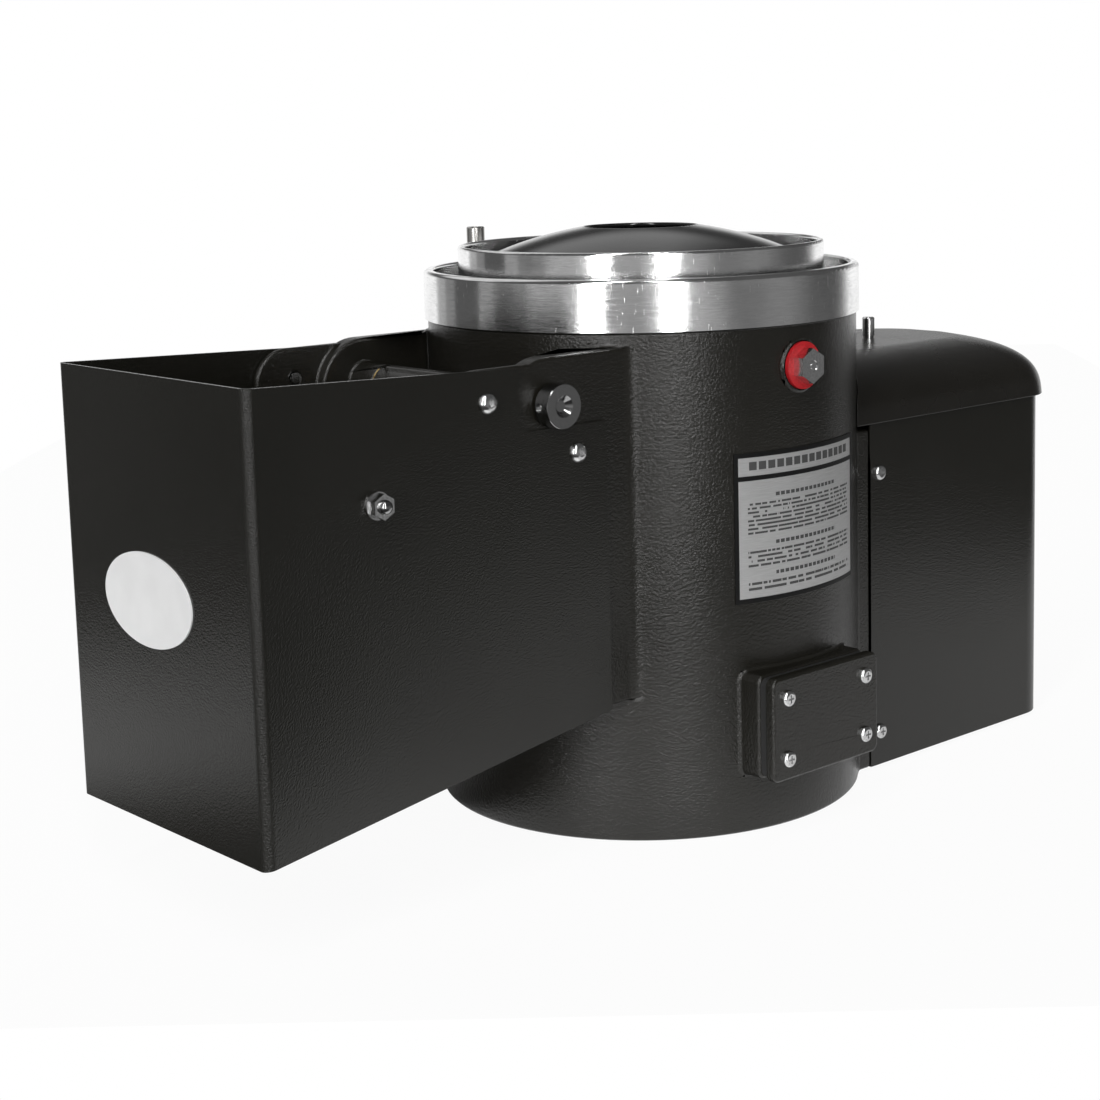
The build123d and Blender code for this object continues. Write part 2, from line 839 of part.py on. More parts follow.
with BuildPart() as inlet_pipe:
    with BuildSketch(Plane.XY.offset(inlet_body_top)):
        with Locations((0, elbow_reach)):
            Circle(pipe_r - pipe_neck)
            Circle(pipe_r - pipe_wall, mode=Mode.SUBTRACT)
    extrude(amount=inlet_nut_high + run_gap)
    with BuildSketch(Plane.XY.offset(pipe_shoulder)):
        with Locations((0, elbow_reach)):
            Circle(pipe_r)
            Circle(pipe_r - pipe_wall, mode=Mode.SUBTRACT)
    extrude(amount=pipe_top - pipe_shoulder)
    chamfer(inlet_pipe.edges().group_by(Axis.Z)[-1].sort_by(SortBy.LENGTH)[-1], pipe_chamfer)
inlet_pipe.part.label = "inlet_pipe"
export_step(inlet_pipe.part, "parts/inlet_pipe.step")

# Bearing housing bolted on the drum floor
hub_top = floor_top + housing_hub_high
lower_bearing_z = floor_top - bearing_wide / 2
seal_low = hub_top - seal_wide
upper_bearing_z = seal_low - bearing_wide
bearing_heights = (lower_bearing_z, upper_bearing_z)

with BuildPart() as bearing_housing:
    with BuildSketch(Plane.XY.offset(floor_low)):
        Circle(housing_spigot_r)
    extrude(amount=floor_thick)
    with BuildSketch(Plane.XY.offset(floor_top)):
        Circle(housing_flange_r)
    extrude(amount=housing_flange)
    with BuildSketch(Plane.XY.offset(floor_top)):
        Circle(housing_hub_r)
    extrude(amount=housing_hub_high)
    with BuildSketch(Plane.XY.offset(floor_low)):
        Circle(bearing_r - bearing_shoulder)
    extrude(amount=hub_top - floor_low, mode=Mode.SUBTRACT)
    for height in bearing_heights:
        with BuildSketch(Plane.XY.offset(height)):
            Circle(bearing_r)
        extrude(amount=bearing_wide, mode=Mode.SUBTRACT)
    with BuildSketch(Plane.XY.offset(seal_low)):
        Circle(bearing_r)
    extrude(amount=seal_wide, mode=Mode.SUBTRACT)
    with BuildSketch(Plane.XY.offset(floor_top)):
        with PolarLocations(bolt_spread_r, 4, 45):
            Circle(bolt_shank_r + thread_gap)
    extrude(amount=housing_flange, mode=Mode.SUBTRACT)
bearing_housing.part.label = "bearing_housing"
export_step(bearing_housing.part, "parts/bearing_housing.step")

# Two sealed ball bearings and the shaft seal, with running gap to the spindle
with BuildPart() as shaft_seal:
    with Locations((0, 0, seal_low)):
        add(ring(spindle_r, bearing_r, seal_wide))
shaft_seal.part.label = "shaft_seal"
export_step(shaft_seal.part, "parts/shaft_seal.step")

with BuildPart() as housing_bolts:
    with PolarLocations(bolt_spread_r, 4, 45):
        with Locations((0, 0, floor_top + housing_flange)):
            add(hex_bolt(housing_flange + floor_thick))
housing_bolts.part.label = "housing_bolts"
export_step(housing_bolts.part, "parts/housing_bolts.step")

# Spindle with a square drive on top
spindle_turn_r = spindle_r - run_gap
spindle_flange_low = hub_top + slip_gap
plate_seat = spindle_flange_low + spindle_flange
disc_low = plate_seat + plate_hub_high
disc_high = disc_low + plate_thick
grit_high = disc_high + grit_thick

with BuildPart() as spindle:
    with BuildSketch(Plane.XY.offset(spindle_low)):
        Circle(spindle_turn_r)
    extrude(amount=plate_seat - spindle_low)
    with BuildSketch(Plane.XY.offset(spindle_flange_low)):
        Circle(spindle_flange_r)
    extrude(amount=spindle_flange)
    with BuildSketch(Plane.XY.offset(plate_seat)):
        Rectangle(drive_square, drive_square)
    extrude(amount=drive_high)
    with BuildSketch(Plane.XY.offset(spindle_low)):
        Circle(bolt_shank_r + thread_gap)
    extrude(amount=2 * bolt_head_flats, mode=Mode.SUBTRACT)
spindle.part.label = "spindle"
export_step(spindle.part, "parts/spindle.step")

# Rotor plate: cast disc with waves, abrasive coat and a domed middle, lifts off the drive
with BuildPart() as rotor_plate:
    with BuildSketch(Plane.XY.offset(plate_seat)):
        Circle(plate_hub_r)
    extrude(amount=plate_hub_high)
    with BuildSketch(Plane.XY.offset(disc_low)):
        Circle(plate_r)
    extrude(amount=plate_thick)
    with BuildSketch(Plane.XY.offset(disc_high)):
        Circle(knob_r)
    extrude(amount=grit_thick + knob_high)
    fillet(rotor_plate.faces().sort_by(Axis.Z)[-1].edges(), knob_high / 2)
    with BuildSketch(Plane.XY.offset(plate_seat)):
        Rectangle(drive_square + 2 * slip_gap, drive_square + 2 * slip_gap)
    extrude(amount=drive_high + slip_gap, mode=Mode.SUBTRACT)
rotor_plate.part.label = "rotor_plate"
export_step(rotor_plate.part, "parts/rotor_plate.step")

with BuildPart() as rotor_abrasive:
    with BuildSketch(Plane.XY.offset(disc_high)):
        Circle(plate_r)
        Circle(grit_in_r, mode=Mode.SUBTRACT)
    extrude(amount=grit_thick)
    with BuildSketch(Plane.XY.offset(grit_high)):
        with PolarLocations((wave_in_r + wave_out_r) / 2, wave_count):
            SlotOverall(wave_out_r - wave_in_r, wave_wide)
    extrude(amount=wave_high, taper=wave_taper)
rotor_abrasive.part.label = "rotor_abrasive"
export_step(rotor_abrasive.part, "parts/rotor_abrasive.step")

# Belt pulleys, each with a groove for the belt
belt_low = belt_mid_z - belt_wide / 2
pulley_low = belt_mid_z - pulley_wide / 2


def grooved_pulley(pitch_r, bore_r):
    """Solid grooved wheel about the Z axis, its groove at the belt's height."""
    with BuildPart() as wheel:
        with BuildSketch(Plane.XY.offset(pulley_low)):
            Circle(pitch_r + belt_thick / 2 + pulley_rim_up)
        extrude(amount=pulley_wide)
        with BuildSketch(Plane.XY.offset(belt_low - slip_gap)):
            Circle(pitch_r + belt_thick)
            Circle(pitch_r - belt_thick / 2 - slip_gap, mode=Mode.SUBTRACT)
        extrude(amount=belt_wide + 2 * slip_gap, mode=Mode.SUBTRACT)
        with BuildSketch(Plane.XY.offset(pulley_low)):
            Circle(bore_r)
        extrude(amount=pulley_wide, mode=Mode.SUBTRACT)
    return wheel.part


pulley_bore_r = spindle_turn_r + run_gap

with BuildPart() as driven_pulley:
    add(grooved_pulley(driven_pitch_r, pulley_bore_r))
    web_low = belt_mid_z - pulley_web / 2
    for low, high in ((pulley_low, web_low), (web_low + pulley_web, pulley_low + pulley_wide)):
        with BuildSketch(Plane.XY.offset(low)):
            Circle(driven_pitch_r - belt_thick / 2 - pulley_rim_wall)
            Circle(pulley_hub_r, mode=Mode.SUBTRACT)
        extrude(amount=high - low, mode=Mode.SUBTRACT)
driven_pulley.part.label = "driven_pulley"
export_step(driven_pulley.part, "parts/driven_pulley.step")

with BuildPart() as pulley_bolt:
    with Locations(facing(0, 0, spindle_low, (0, 0, -1))):
        add(hex_bolt(2 * bolt_head_flats - slip_gap))
pulley_bolt.part.label = "pulley_bolt"
export_step(pulley_bolt.part, "parts/pulley_bolt.step")

with BuildPart() as motor_pulley:
    with Locations((motor_x, 0, 0)):
        add(grooved_pulley(motor_pitch_r, motor_shaft_r + run_gap))
motor_pulley.part.label = "motor_pulley"
export_step(motor_pulley.part, "parts/motor_pulley.step")

with BuildPart() as drive_belt:
    for half, mode in ((belt_thick / 2, Mode.ADD), (-belt_thick / 2, Mode.SUBTRACT)):
        with BuildSketch(Plane.XY.offset(belt_low)):
            Circle(driven_pitch_r + half)
            with Locations((motor_x, 0)):
                Circle(motor_pitch_r + half)
            make_hull()
        extrude(amount=belt_wide, mode=mode)
drive_belt.part.label = "drive_belt"
export_step(drive_belt.part, "parts/drive_belt.step")

# Motor: finned frame with end shields, flange down, windings inside
motor_in_r = motor_r - motor_wall
shield_low = motor_low + motor_flange + motor_cap_wall
shield_high = motor_high - motor_cap_wall
motor_bearing_low = shield_low - motor_bearing_wide
motor_bearing_high = shield_high - motor_cap_wall
mount_step = mount_bolt_circle / sqrt(2)
mount_spots = [(motor_x + sx * mount_step, sy * mount_step) for sx in (-1, 1) for sy in (-1, 1)]

with BuildPart() as motor_frame:
    with BuildSketch(Plane.XY.offset(motor_low)):
        with Locations((motor_x, 0)):
            Circle(motor_flange_r)
    extrude(amount=motor_flange)
    with BuildSketch(Plane.XY.offset(motor_low)):
        with Locations((motor_x, 0)):
            Circle(motor_r)
    extrude(amount=motor_high - motor_low)
    with BuildSketch(Plane.XY.offset(motor_low + motor_flange)):
        with Locations((motor_x, 0)):
            with PolarLocations(motor_r, motor_fin_count):
                Rectangle(2 * motor_fin, motor_fin_wide)
    extrude(amount=cowl_low - motor_low - motor_flange)
    with BuildSketch(Plane.XY.offset(shield_low)):
        with Locations((motor_x, 0)):
            Circle(motor_in_r)
    extrude(amount=shield_high - shield_low, mode=Mode.SUBTRACT)
    with BuildSketch(Plane.XY.offset(shield_high - motor_cap_wall)):
        with Locations((motor_x, 0)):
            Circle(motor_bearing_r + motor_cap_wall)
    extrude(amount=motor_cap_wall)
    with BuildSketch(Plane.XY.offset(motor_bearing_low)):
        with Locations((motor_x, 0)):
            Circle(motor_bearing_r)
    extrude(amount=motor_bearing_wide, mode=Mode.SUBTRACT)
    with BuildSketch(Plane.XY.offset(motor_bearing_high)):
        with Locations((motor_x, 0)):
            Circle(motor_bearing_r)
    extrude(amount=motor_cap_wall, mode=Mode.SUBTRACT)
    with BuildSketch(Plane.XY.offset(motor_low)):
        with Locations((motor_x, 0)):
            Circle(motor_shaft_r + ease_gap)
    extrude(amount=motor_high - motor_low, mode=Mode.SUBTRACT)
    with BuildSketch(Plane.XY.offset(motor_low)):
        with Locations(*mount_spots):
            Circle(bolt_shank_r + thread_gap)
    extrude(amount=motor_flange, mode=Mode.SUBTRACT)
motor_frame.part.label = "motor_frame"
export_step(motor_frame.part, "parts/motor_frame.step")

with BuildPart() as motor_stator:
    with Locations((motor_x, 0, stator_low)):
        add(ring(motor_in_r - stator_wall, motor_in_r, stator_high - stator_low))
motor_stator.part.label = "motor_stator"
export_step(motor_stator.part, "parts/motor_stator.step")

# Ball bearings: two under the rotor plate and two in the motor
with BuildPart() as ball_bearings:
    for height in bearing_heights:
        with Locations((0, 0, height)):
            add(ring(spindle_r, bearing_r, bearing_wide))
    with Locations((motor_x, 0, motor_bearing_low)):
        add(ring(motor_shaft_r + run_gap, motor_bearing_r, motor_bearing_wide))
    with Locations((motor_x, 0, motor_bearing_high)):
        add(ring(motor_shaft_r + run_gap, motor_bearing_r, motor_cap_wall))
ball_bearings.part.label = "ball_bearings"
export_step(ball_bearings.part, "parts/ball_bearings.step")

with BuildPart() as motor_rotor:
    with BuildSketch(Plane.XY.offset(pulley_low)):
        with Locations((motor_x, 0)):
            Circle(motor_shaft_r)
    extrude(amount=fan_high + motor_fin - pulley_low)
    with BuildSketch(Plane.XY.offset(stator_low)):
        with Locations((motor_x, 0)):
            Circle(motor_in_r - stator_wall - air_gap)
    extrude(amount=stator_high - stator_low)
motor_rotor.part.label = "motor_rotor"
export_step(motor_rotor.part, "parts/motor_rotor.step")

with BuildPart() as motor_fan:
    with BuildSketch(Plane.XY.offset(fan_low)):
        with Locations((motor_x, 0)):
            Circle(fan_hub_r)
            with PolarLocations((fan_r + fan_hub_r) / 2, fan_count):
                Rectangle(fan_r - fan_hub_r + fan_blade, fan_blade)
            Circle(motor_shaft_r + thread_gap, mode=Mode.SUBTRACT)
    extrude(amount=fan_high - fan_low)
motor_fan.part.label = "motor_fan"
export_step(motor_fan.part, "parts/motor_fan.step")

with BuildPart() as fan_cowl:
    with BuildSketch(Plane.XY.offset(cowl_low)):
        with Locations((motor_x, 0)):
            Circle(cowl_r)
    extrude(amount=cowl_high - cowl_low)
    fillet(fan_cowl.faces().sort_by(Axis.Z)[-1].edges(), motor_fin)
    with BuildSketch(Plane.XY.offset(cowl_low)):
        with Locations((motor_x, 0)):
            Circle(cowl_r - cowl_wall)
    extrude(amount=cowl_high - cowl_low - 2 * cowl_wall, mode=Mode.SUBTRACT)
    with BuildSketch(Plane.XY.offset(cowl_high)):
        with Locations((motor_x, 0)):
            with PolarLocations(fan_hub_r + cowl_slot_long / 2, cowl_slot_count):
                SlotOverall(cowl_slot_long, cowl_slot_wide)
    extrude(amount=-(cowl_wall * 2 + cut_over), mode=Mode.SUBTRACT)
    # Three inner ribs that seat the cowl on the motor's end
    with BuildSketch(Plane.XY.offset(cowl_low)):
        with Locations((motor_x, 0)):
            with PolarLocations((motor_r + cowl_r) / 2, 3):
                Rectangle(cowl_r - motor_r - cowl_wall / 2, fan_hub_r)
    extrude(amount=motor_high - cowl_low)
fan_cowl.part.label = "fan_cowl"
export_step(fan_cowl.part, "parts/fan_cowl.step")

# Motor plate on the drum's lugs, with all eight motor and plate bolts in one node
lug_bolt_spots = [(x, side * lug_mid) for x in lug_bolt_x for side in (-1, 1)]

with BuildPart() as motor_plate:
    with BuildSketch(Plane.XY.offset(mount_plate_low)):
        with Locations((wing_x + cover_gap, 0)):
            Rectangle(mount_plate_far - wing_x - cover_gap, 2 * mount_plate_half, align=(Align.MIN, Align.CENTER))
        Circle(drum_r + slip_gap, mode=Mode.SUBTRACT)
        with Locations((motor_x, 0)):
            Circle(mount_hole_r, mode=Mode.SUBTRACT)
        with Locations(*mount_spots, *lug_bolt_spots):
            Circle(bolt_shank_r + thread_gap, mode=Mode.SUBTRACT)
    extrude(amount=mount_plate_thick)
motor_plate.part.label = "motor_plate"
export_step(motor_plate.part, "parts/motor_plate.step")

with BuildPart() as motor_bolts:
    with Locations(*[facing(x, y, motor_low, (0, 0, 1)) for x, y in lug_bolt_spots]):
        add(hex_bolt(mount_plate_thick + mount_plate_low - lug_low))
    with Locations(*[facing(x, y, mount_plate_low, (0, 0, -1)) for x, y in mount_spots]):
        add(hex_bolt(mount_plate_thick + mount_plate_low - lug_low))
motor_bolts.part.label = "motor_bolts"
export_step(motor_bolts.part, "parts/motor_bolts.step")

# Motor cover: folded sheet round three sides of the motor
cover_near = wing_x + cover_gap


def cover_plan(skin):
    """Outline of the cover's three walls, skin millimetres inside its outer face."""
    with BuildSketch() as plan:
        with Locations((cover_near, 0)):
            Rectangle(cover_far - skin - cover_near, 2 * (wing_half - skin), align=(Align.MIN, Align.CENTER))
        fillet(plan.vertices().group_by(Axis.X)[-1], cover_round - skin)
    return plan.sketch


with BuildPart() as motor_cover:
    with BuildSketch(Plane.XY.offset(wing_low)):
        add(cover_plan(0))
        add(cover_plan(cover_skin), mode=Mode.SUBTRACT)
    extrude(amount=cover_high - wing_low)
    for side in (1, -1):
        with BuildSketch(Plane.XZ.offset(side * wing_half)):
            with Locations(*[(cover_screw_x, height) for height in cover_screw_z]):
                Circle(pan_shank_r + thread_gap)
        extrude(amount=-side * cover_skin, mode=Mode.SUBTRACT)
    with BuildSketch(Plane.XZ.offset(-wing_half)):
        with Locations((switch_x, switch_z)):
            Rectangle(switch_in_wide + slip_gap, switch_in_tall + slip_gap)
        with Locations((gland_x, gland_z)):
            Circle(gland_thread_r + thread_gap)
    extrude(amount=cover_skin, mode=Mode.SUBTRACT)
motor_cover.part.label = "motor_cover"
export_step(motor_cover.part, "parts/motor_cover.step")

with BuildPart() as motor_cover_screws:
    with Locations(
        *[facing(cover_screw_x, -side * wing_half, z, (0, -side, 0)) for side in (1, -1) for z in cover_screw_z]
    ):
        add(pan_screw(cover_skin + outlet_screw_deep))
motor_cover_screws.part.label = "motor_cover_screws"
export_step(motor_cover_screws.part, "parts/motor_cover_screws.step")

with BuildPart() as base_guard:
    with BuildSketch(Plane.XY.offset(wing_low)):
        add(cover_plan(cover_skin))
        Circle(drum_r + slip_gap, mode=Mode.SUBTRACT)
    extrude(amount=base_flange)
    with BuildSketch(Plane.XY.offset(wing_low + base_thick)):
        add(cover_plan(cover_skin + base_thick))
        with Locations((wing_x - lug_deep, 0)):
            Rectangle(lug_deep + lug_far_x - wing_x + slip_gap, 2 * wing_half, align=(Align.MIN, Align.CENTER))
    extrude(amount=base_flange, mode=Mode.SUBTRACT)
base_guard.part.label = "base_guard"
export_step(base_guard.part, "parts/base_guard.step")

# Cap over the motor cover: a shell that closes in from both sides and the far end as it
# rises, open below and towards the drum


def closing(rise, fullness):
    """Share of the foot's width left at a share of the cap's rise."""
    return (1 - rise**fullness) ** (1 / fullness)


def cap_solid(skin):
    """Outer form of the cap, skin millimetres inside its outer face."""
    rise = (cap_high - skin - cap_low) / cap_levels[-1]
    with BuildPart() as form:
        for level in cap_levels:
            half = (cap_half - skin) * closing(level, cap_side_fullness)
            far = cap_far - skin - cap_far_run * (1 - closing(level, cap_end_fullness))
            with BuildSketch(Plane.XY.offset(cap_low + rise * level)) as layer:
                with Locations((drum_r / 2, 0)):
                    Rectangle(far - drum_r / 2, 2 * half, align=(Align.MIN, Align.CENTER))
                corner = min(cap_round - skin + cap_round_gain * level, half * 0.8)
                fillet(layer.vertices().group_by(Axis.X)[-1], corner)
        loft()
    return form.part


with BuildPart() as motor_cap:
    add(cap_solid(0))
    add(cap_solid(cap_wall), mode=Mode.SUBTRACT)
    with BuildSketch(Plane.XY.offset(cap_low)):
        Circle(drum_r + ease_gap)
    extrude(amount=cap_high - cap_low, mode=Mode.SUBTRACT)
    with BuildSketch(Plane.XY.offset(cap_low)):
        with Locations((stud_x, 0)):
            Circle(stud_shank_r + thread_gap)
    extrude(amount=cap_high - cap_low, mode=Mode.SUBTRACT)
motor_cap.part.label = "motor_cap"
export_step(motor_cap.part, "parts/motor_cap.step")

cap_in_z = cap_high - cap_wall
post_top = cap_in_z - 2 * ease_gap

with BuildPart() as cap_bracket:
    with BuildSketch(Plane.YZ.offset(stud_x - bracket_wide / 2)):
        with Locations((0, bracket_high)):
            Rectangle(2 * cover_in, bracket_high - bracket_low, align=(Align.CENTER, Align.MAX))
        with Locations((0, bracket_high - bracket_thick)):
            bar_under = 2 * (cover_in - bracket_thick)
            Rectangle(bar_under, bracket_high, align=(Align.CENTER, Align.MAX), mode=Mode.SUBTRACT)
    extrude(amount=bracket_wide)
    with BuildSketch(Plane.XY.offset(bracket_high)):
        with Locations((stud_x, 0)):
            Circle(bracket_post_r)
    extrude(amount=post_top - bracket_high)
    with BuildSketch(Plane.XY.offset(post_top)):
        with Locations((stud_x, 0)):
            Circle(stud_shank_r + thread_gap)
    extrude(amount=-(stud_shank + slip_gap), mode=Mode.SUBTRACT)
cap_bracket.part.label = "cap_bracket"
export_step(cap_bracket.part, "parts/cap_bracket.step")

with BuildPart() as cap_stud:
    with BuildSketch(Plane.XY.offset(cap_high + stud_neck)):
        with Locations((stud_x, 0)):
            Circle(stud_head_r)
    extrude(amount=stud_head)
    chamfer(cap_stud.faces().sort_by(Axis.Z)[-1].edges(), stud_neck_r / 4)
    with BuildSketch(Plane.XY.offset(cap_high)):
        with Locations((stud_x, 0)):
            Circle(stud_neck_r)
    extrude(amount=stud_neck)
    with BuildSketch(Plane.XY.offset(cap_high)):
        with Locations((stud_x, 0)):
            Circle(stud_shank_r)
    extrude(amount=-(cap_wall + stud_shank))
cap_stud.part.label = "cap_stud"
export_step(cap_stud.part, "parts/cap_stud.step")

# Start and stop switch on the rear of the motor cover
switch_front = wing_half + switch_proud
start_z = switch_z + button_pitch / 2
stop_z = switch_z - button_pitch / 2

with BuildPart() as switch_housing:
    with BuildSketch(Plane.XZ.offset(-wing_half)):
        with Locations((switch_x, switch_z)):
            RectangleRounded(switch_wide, switch_tall, switch_round)
    extrude(amount=-switch_proud)
    fillet(switch_housing.faces().sort_by(Axis.Y)[-1].edges(), cover_edge)
    with BuildSketch(Plane.XZ.offset(-wing_half)):
        with Locations((switch_x, switch_z)):
            Rectangle(switch_in_wide, switch_in_tall)
    extrude(amount=switch_in_deep)
    with BuildSketch(Plane.XZ.offset(-switch_front)):
        with Locations((switch_x, start_z)):
            Circle(start_r + slip_gap)
        with Locations((switch_x, stop_z)):
            Circle(stop_stem_r + slip_gap)
    extrude(amount=push_deep, mode=Mode.SUBTRACT)
switch_housing.part.label = "switch_housing"
export_step(switch_housing.part, "parts/switch_housing.step")

push_foot = switch_front - push_deep + push_travel + slip_gap

with BuildPart() as start_button:
    with BuildSketch(Plane.XZ.offset(-push_foot)):
        with Locations((switch_x, start_z)):
            Circle(start_r)
    extrude(amount=-(switch_front + start_proud - push_foot))
    fillet(start_button.faces().sort_by(Axis.Y)[-1].edges(), pipe_wall)
start_button.part.label = "start_button"
export_step(start_button.part, "parts/start_button.step")

with BuildPart() as stop_button:
    with BuildSketch(Plane.XZ.offset(-push_foot)):
        with Locations((switch_x, stop_z)):
            Circle(stop_stem_r)
    extrude(amount=-(switch_front + start_proud - push_foot))
    with BuildSketch(Plane.XZ.offset(-(switch_front + start_proud))):
        with Locations((switch_x, stop_z)):
            Circle(stop_r)
    extrude(amount=-stop_head)
    fillet(stop_button.faces().sort_by(Axis.Y)[-1].edges(), stop_head / 2)
stop_button.part.label = "stop_button"
export_step(stop_button.part, "parts/stop_button.step")

with BuildPart() as cable_gland:
    with BuildSketch(Plane.XZ.offset(-(cover_in - gland_nut))):
        with Locations((gland_x, gland_z)):
            Circle(gland_thread_r)
    extrude(amount=-(gland_nut + cover_skin))
    with BuildSketch(Plane.XZ.offset(-wing_half)):
        with Locations((gland_x, gland_z)):
            RegularPolygon(hexagon_r(gland_flats), 6)
    extrude(amount=-gland_hex)
    with BuildSketch(Plane.XZ.offset(-(wing_half + gland_hex))):
        with Locations((gland_x, gland_z)):
            Circle(gland_dome_r)
    with BuildSketch(Plane.XZ.offset(-(wing_half + gland_hex + gland_dome))):
        with Locations((gland_x, gland_z)):
            Circle(gland_tip_r)
    loft()
    with BuildSketch(Plane.XZ):
        with Locations((gland_x, gland_z)):
            Circle(gland_bore_r)
    extrude(amount=-(wing_half + gland_hex + gland_dome + cut_over), mode=Mode.SUBTRACT)
cable_gland.part.label = "cable_gland"
export_step(cable_gland.part, "parts/cable_gland.step")

with BuildPart() as gland_locknut:
    with BuildSketch(Plane.XZ.offset(-cover_in)):
        with Locations((gland_x, gland_z)):
            RegularPolygon(hexagon_r(gland_flats), 6)
            Circle(gland_thread_r + thread_gap, mode=Mode.SUBTRACT)
    extrude(amount=gland_nut)
gland_locknut.part.label = "gland_locknut"
export_step(gland_locknut.part, "parts/gland_locknut.step")

# Chute guard: one folded sheet, open above and below, notched round the hinge
with BuildPart() as chute_guard:
    for skin, mode in ((0, Mode.ADD), (sheet, Mode.SUBTRACT)):
        with BuildSketch() as plan:
            with Locations((-guard_end, 0)):
                Rectangle(guard_reach - guard_end - skin, 2 * (guard_half - skin), align=(Align.MAX, Align.CENTER))
            fillet(plan.vertices().group_by(Axis.X)[0], guard_bend - skin)
        extrude(amount=guard_top_far, mode=mode)
    with BuildSketch(Plane.XZ):
        with BuildLine():
            Polyline(
                (-guard_reach, guard_top_far),
                (-notch_reach, guard_top_near),
                (-notch_reach, notch_low),
                (0, notch_low),
                (0, guard_top_far + cut_over),
                (-guard_reach, guard_top_far + cut_over),
                close=True,
            )
        make_face()
    extrude(amount=guard_reach, both=True, mode=Mode.SUBTRACT)
    with BuildSketch(Plane.XZ):
        with BuildLine():
            Polyline(
                (-guard_reach - cut_over, guard_low_far),
                (-guard_reach, guard_low_far),
                (-guard_end, guard_low_near),
                (0, guard_low_near),
                (0, -cut_over),
                (-guard_reach - cut_over, -cut_over),
                close=True,
            )
        make_face()
    extrude(amount=guard_reach, both=True, mode=Mode.SUBTRACT)
    for side in (1, -1):
        with BuildSketch(Plane.XZ.offset(side * guard_half)):
            with Locations(*guard_screw_spots):
                Circle(button_shank_r + thread_gap)
            with Locations((bar_x, bar_z)):
                Circle(bar_end_r + thread_gap)
        extrude(amount=-side * sheet, mode=Mode.SUBTRACT)
    fillet(chute_guard.edges().filter_by(Axis.Y).sort_by_distance((-notch_reach, 0, notch_low))[:2], notch_round)
chute_guard.part.label = "chute_guard"
export_step(chute_guard.part, "parts/chute_guard.step")

with BuildPart() as guard_screws:
    with Locations(
        *[facing(x, -side * guard_half, z, (0, -side, 0)) for side in (1, -1) for x, z in guard_screw_spots]
    ):
        add(button_screw(sheet + ear_thick + sheet / 2))
guard_screws.part.label = "guard_screws"
export_step(guard_screws.part, "parts/guard_screws.step")

with BuildPart() as badge_plate:
    with BuildSketch(Plane.YZ.offset(-guard_reach)):
        with Locations((badge_y, badge_z)):
            Ellipse(badge_wide / 2, badge_tall / 2)
    extrude(amount=-badge_thick)
badge_plate.part.label = "badge_plate"
export_step(badge_plate.part, "parts/badge_plate.step")

# Stop bar across the guard, clamped by a washer and a nut on each side
nut_out = guard_half + bar_washer_thick + bar_nut_thick

with BuildPart() as stop_bar:
    with BuildSketch(Plane.XZ):
        with Locations((bar_x, bar_z)):
            Circle(bar_r)
    extrude(amount=cheek_out, both=True)
    with BuildSketch(Plane.XZ):
        with Locations((bar_x, bar_z)):
            Circle(bar_end_r)
    extrude(amount=nut_out + bar_dome_out, both=True)
    fillet(stop_bar.edges().group_by(Axis.Y)[0] + stop_bar.edges().group_by(Axis.Y)[-1], bar_end_r * 0.9)
stop_bar.part.label = "stop_bar"
export_step(stop_bar.part, "parts/stop_bar.step")

with BuildPart() as stop_bar_washers:
    with Locations(*[facing(bar_x, -side * guard_half, bar_z, (0, -side, 0)) for side in (1, -1)]):
        add(ring(bar_end_r + thread_gap, bar_washer_r, bar_washer_thick))
stop_bar_washers.part.label = "stop_bar_washers"
export_step(stop_bar_washers.part, "parts/stop_bar_washers.step")

with BuildPart() as stop_bar_nuts:
    for side in (1, -1):
        with BuildSketch(Plane.XZ.offset(side * (guard_half + bar_washer_thick))):
            with Locations((bar_x, bar_z)):
                RegularPolygon(hexagon_r(bar_nut_flats), 6, rotation=30)
                Circle(bar_end_r + thread_gap, mode=Mode.SUBTRACT)
        extrude(amount=side * bar_nut_thick)
stop_bar_nuts.part.label = "stop_bar_nuts"
export_step(stop_bar_nuts.part, "parts/stop_bar_nuts.step")

# Flanged bushes in the two hinge bosses
bush_in_r = shaft_r + run_gap
bush_end = boss_in - bush_rim_thick

with BuildPart() as door_bushes:
    for side in (1, -1):
        with BuildSketch(Plane.XZ.offset(side * bush_end)):
            with Locations((hinge_x, hinge_z)):
                Circle(shaft_hole_r)
                Circle(bush_in_r, mode=Mode.SUBTRACT)
        extrude(amount=side * (guard_half - slip_gap - bush_end))
        with BuildSketch(Plane.XZ.offset(side * bush_end)):
            with Locations((hinge_x, hinge_z)):
                Circle(shaft_hole_r + bush_rim)
                Circle(bush_in_r, mode=Mode.SUBTRACT)
        extrude(amount=side * bush_rim_thick)
door_bushes.part.label = "door_bushes"
export_step(door_bushes.part, "parts/door_bushes.step")

# Discharge door: plate, hood and hinge knuckle in one casting
door_face = -(throat_face + door_gap)
door_back = door_face - door_thick
door_half = cheek_in - door_side_gap
door_high = throat_high + seal_band + throat_rim / 2
knuckle_half = bush_end - slip_gap

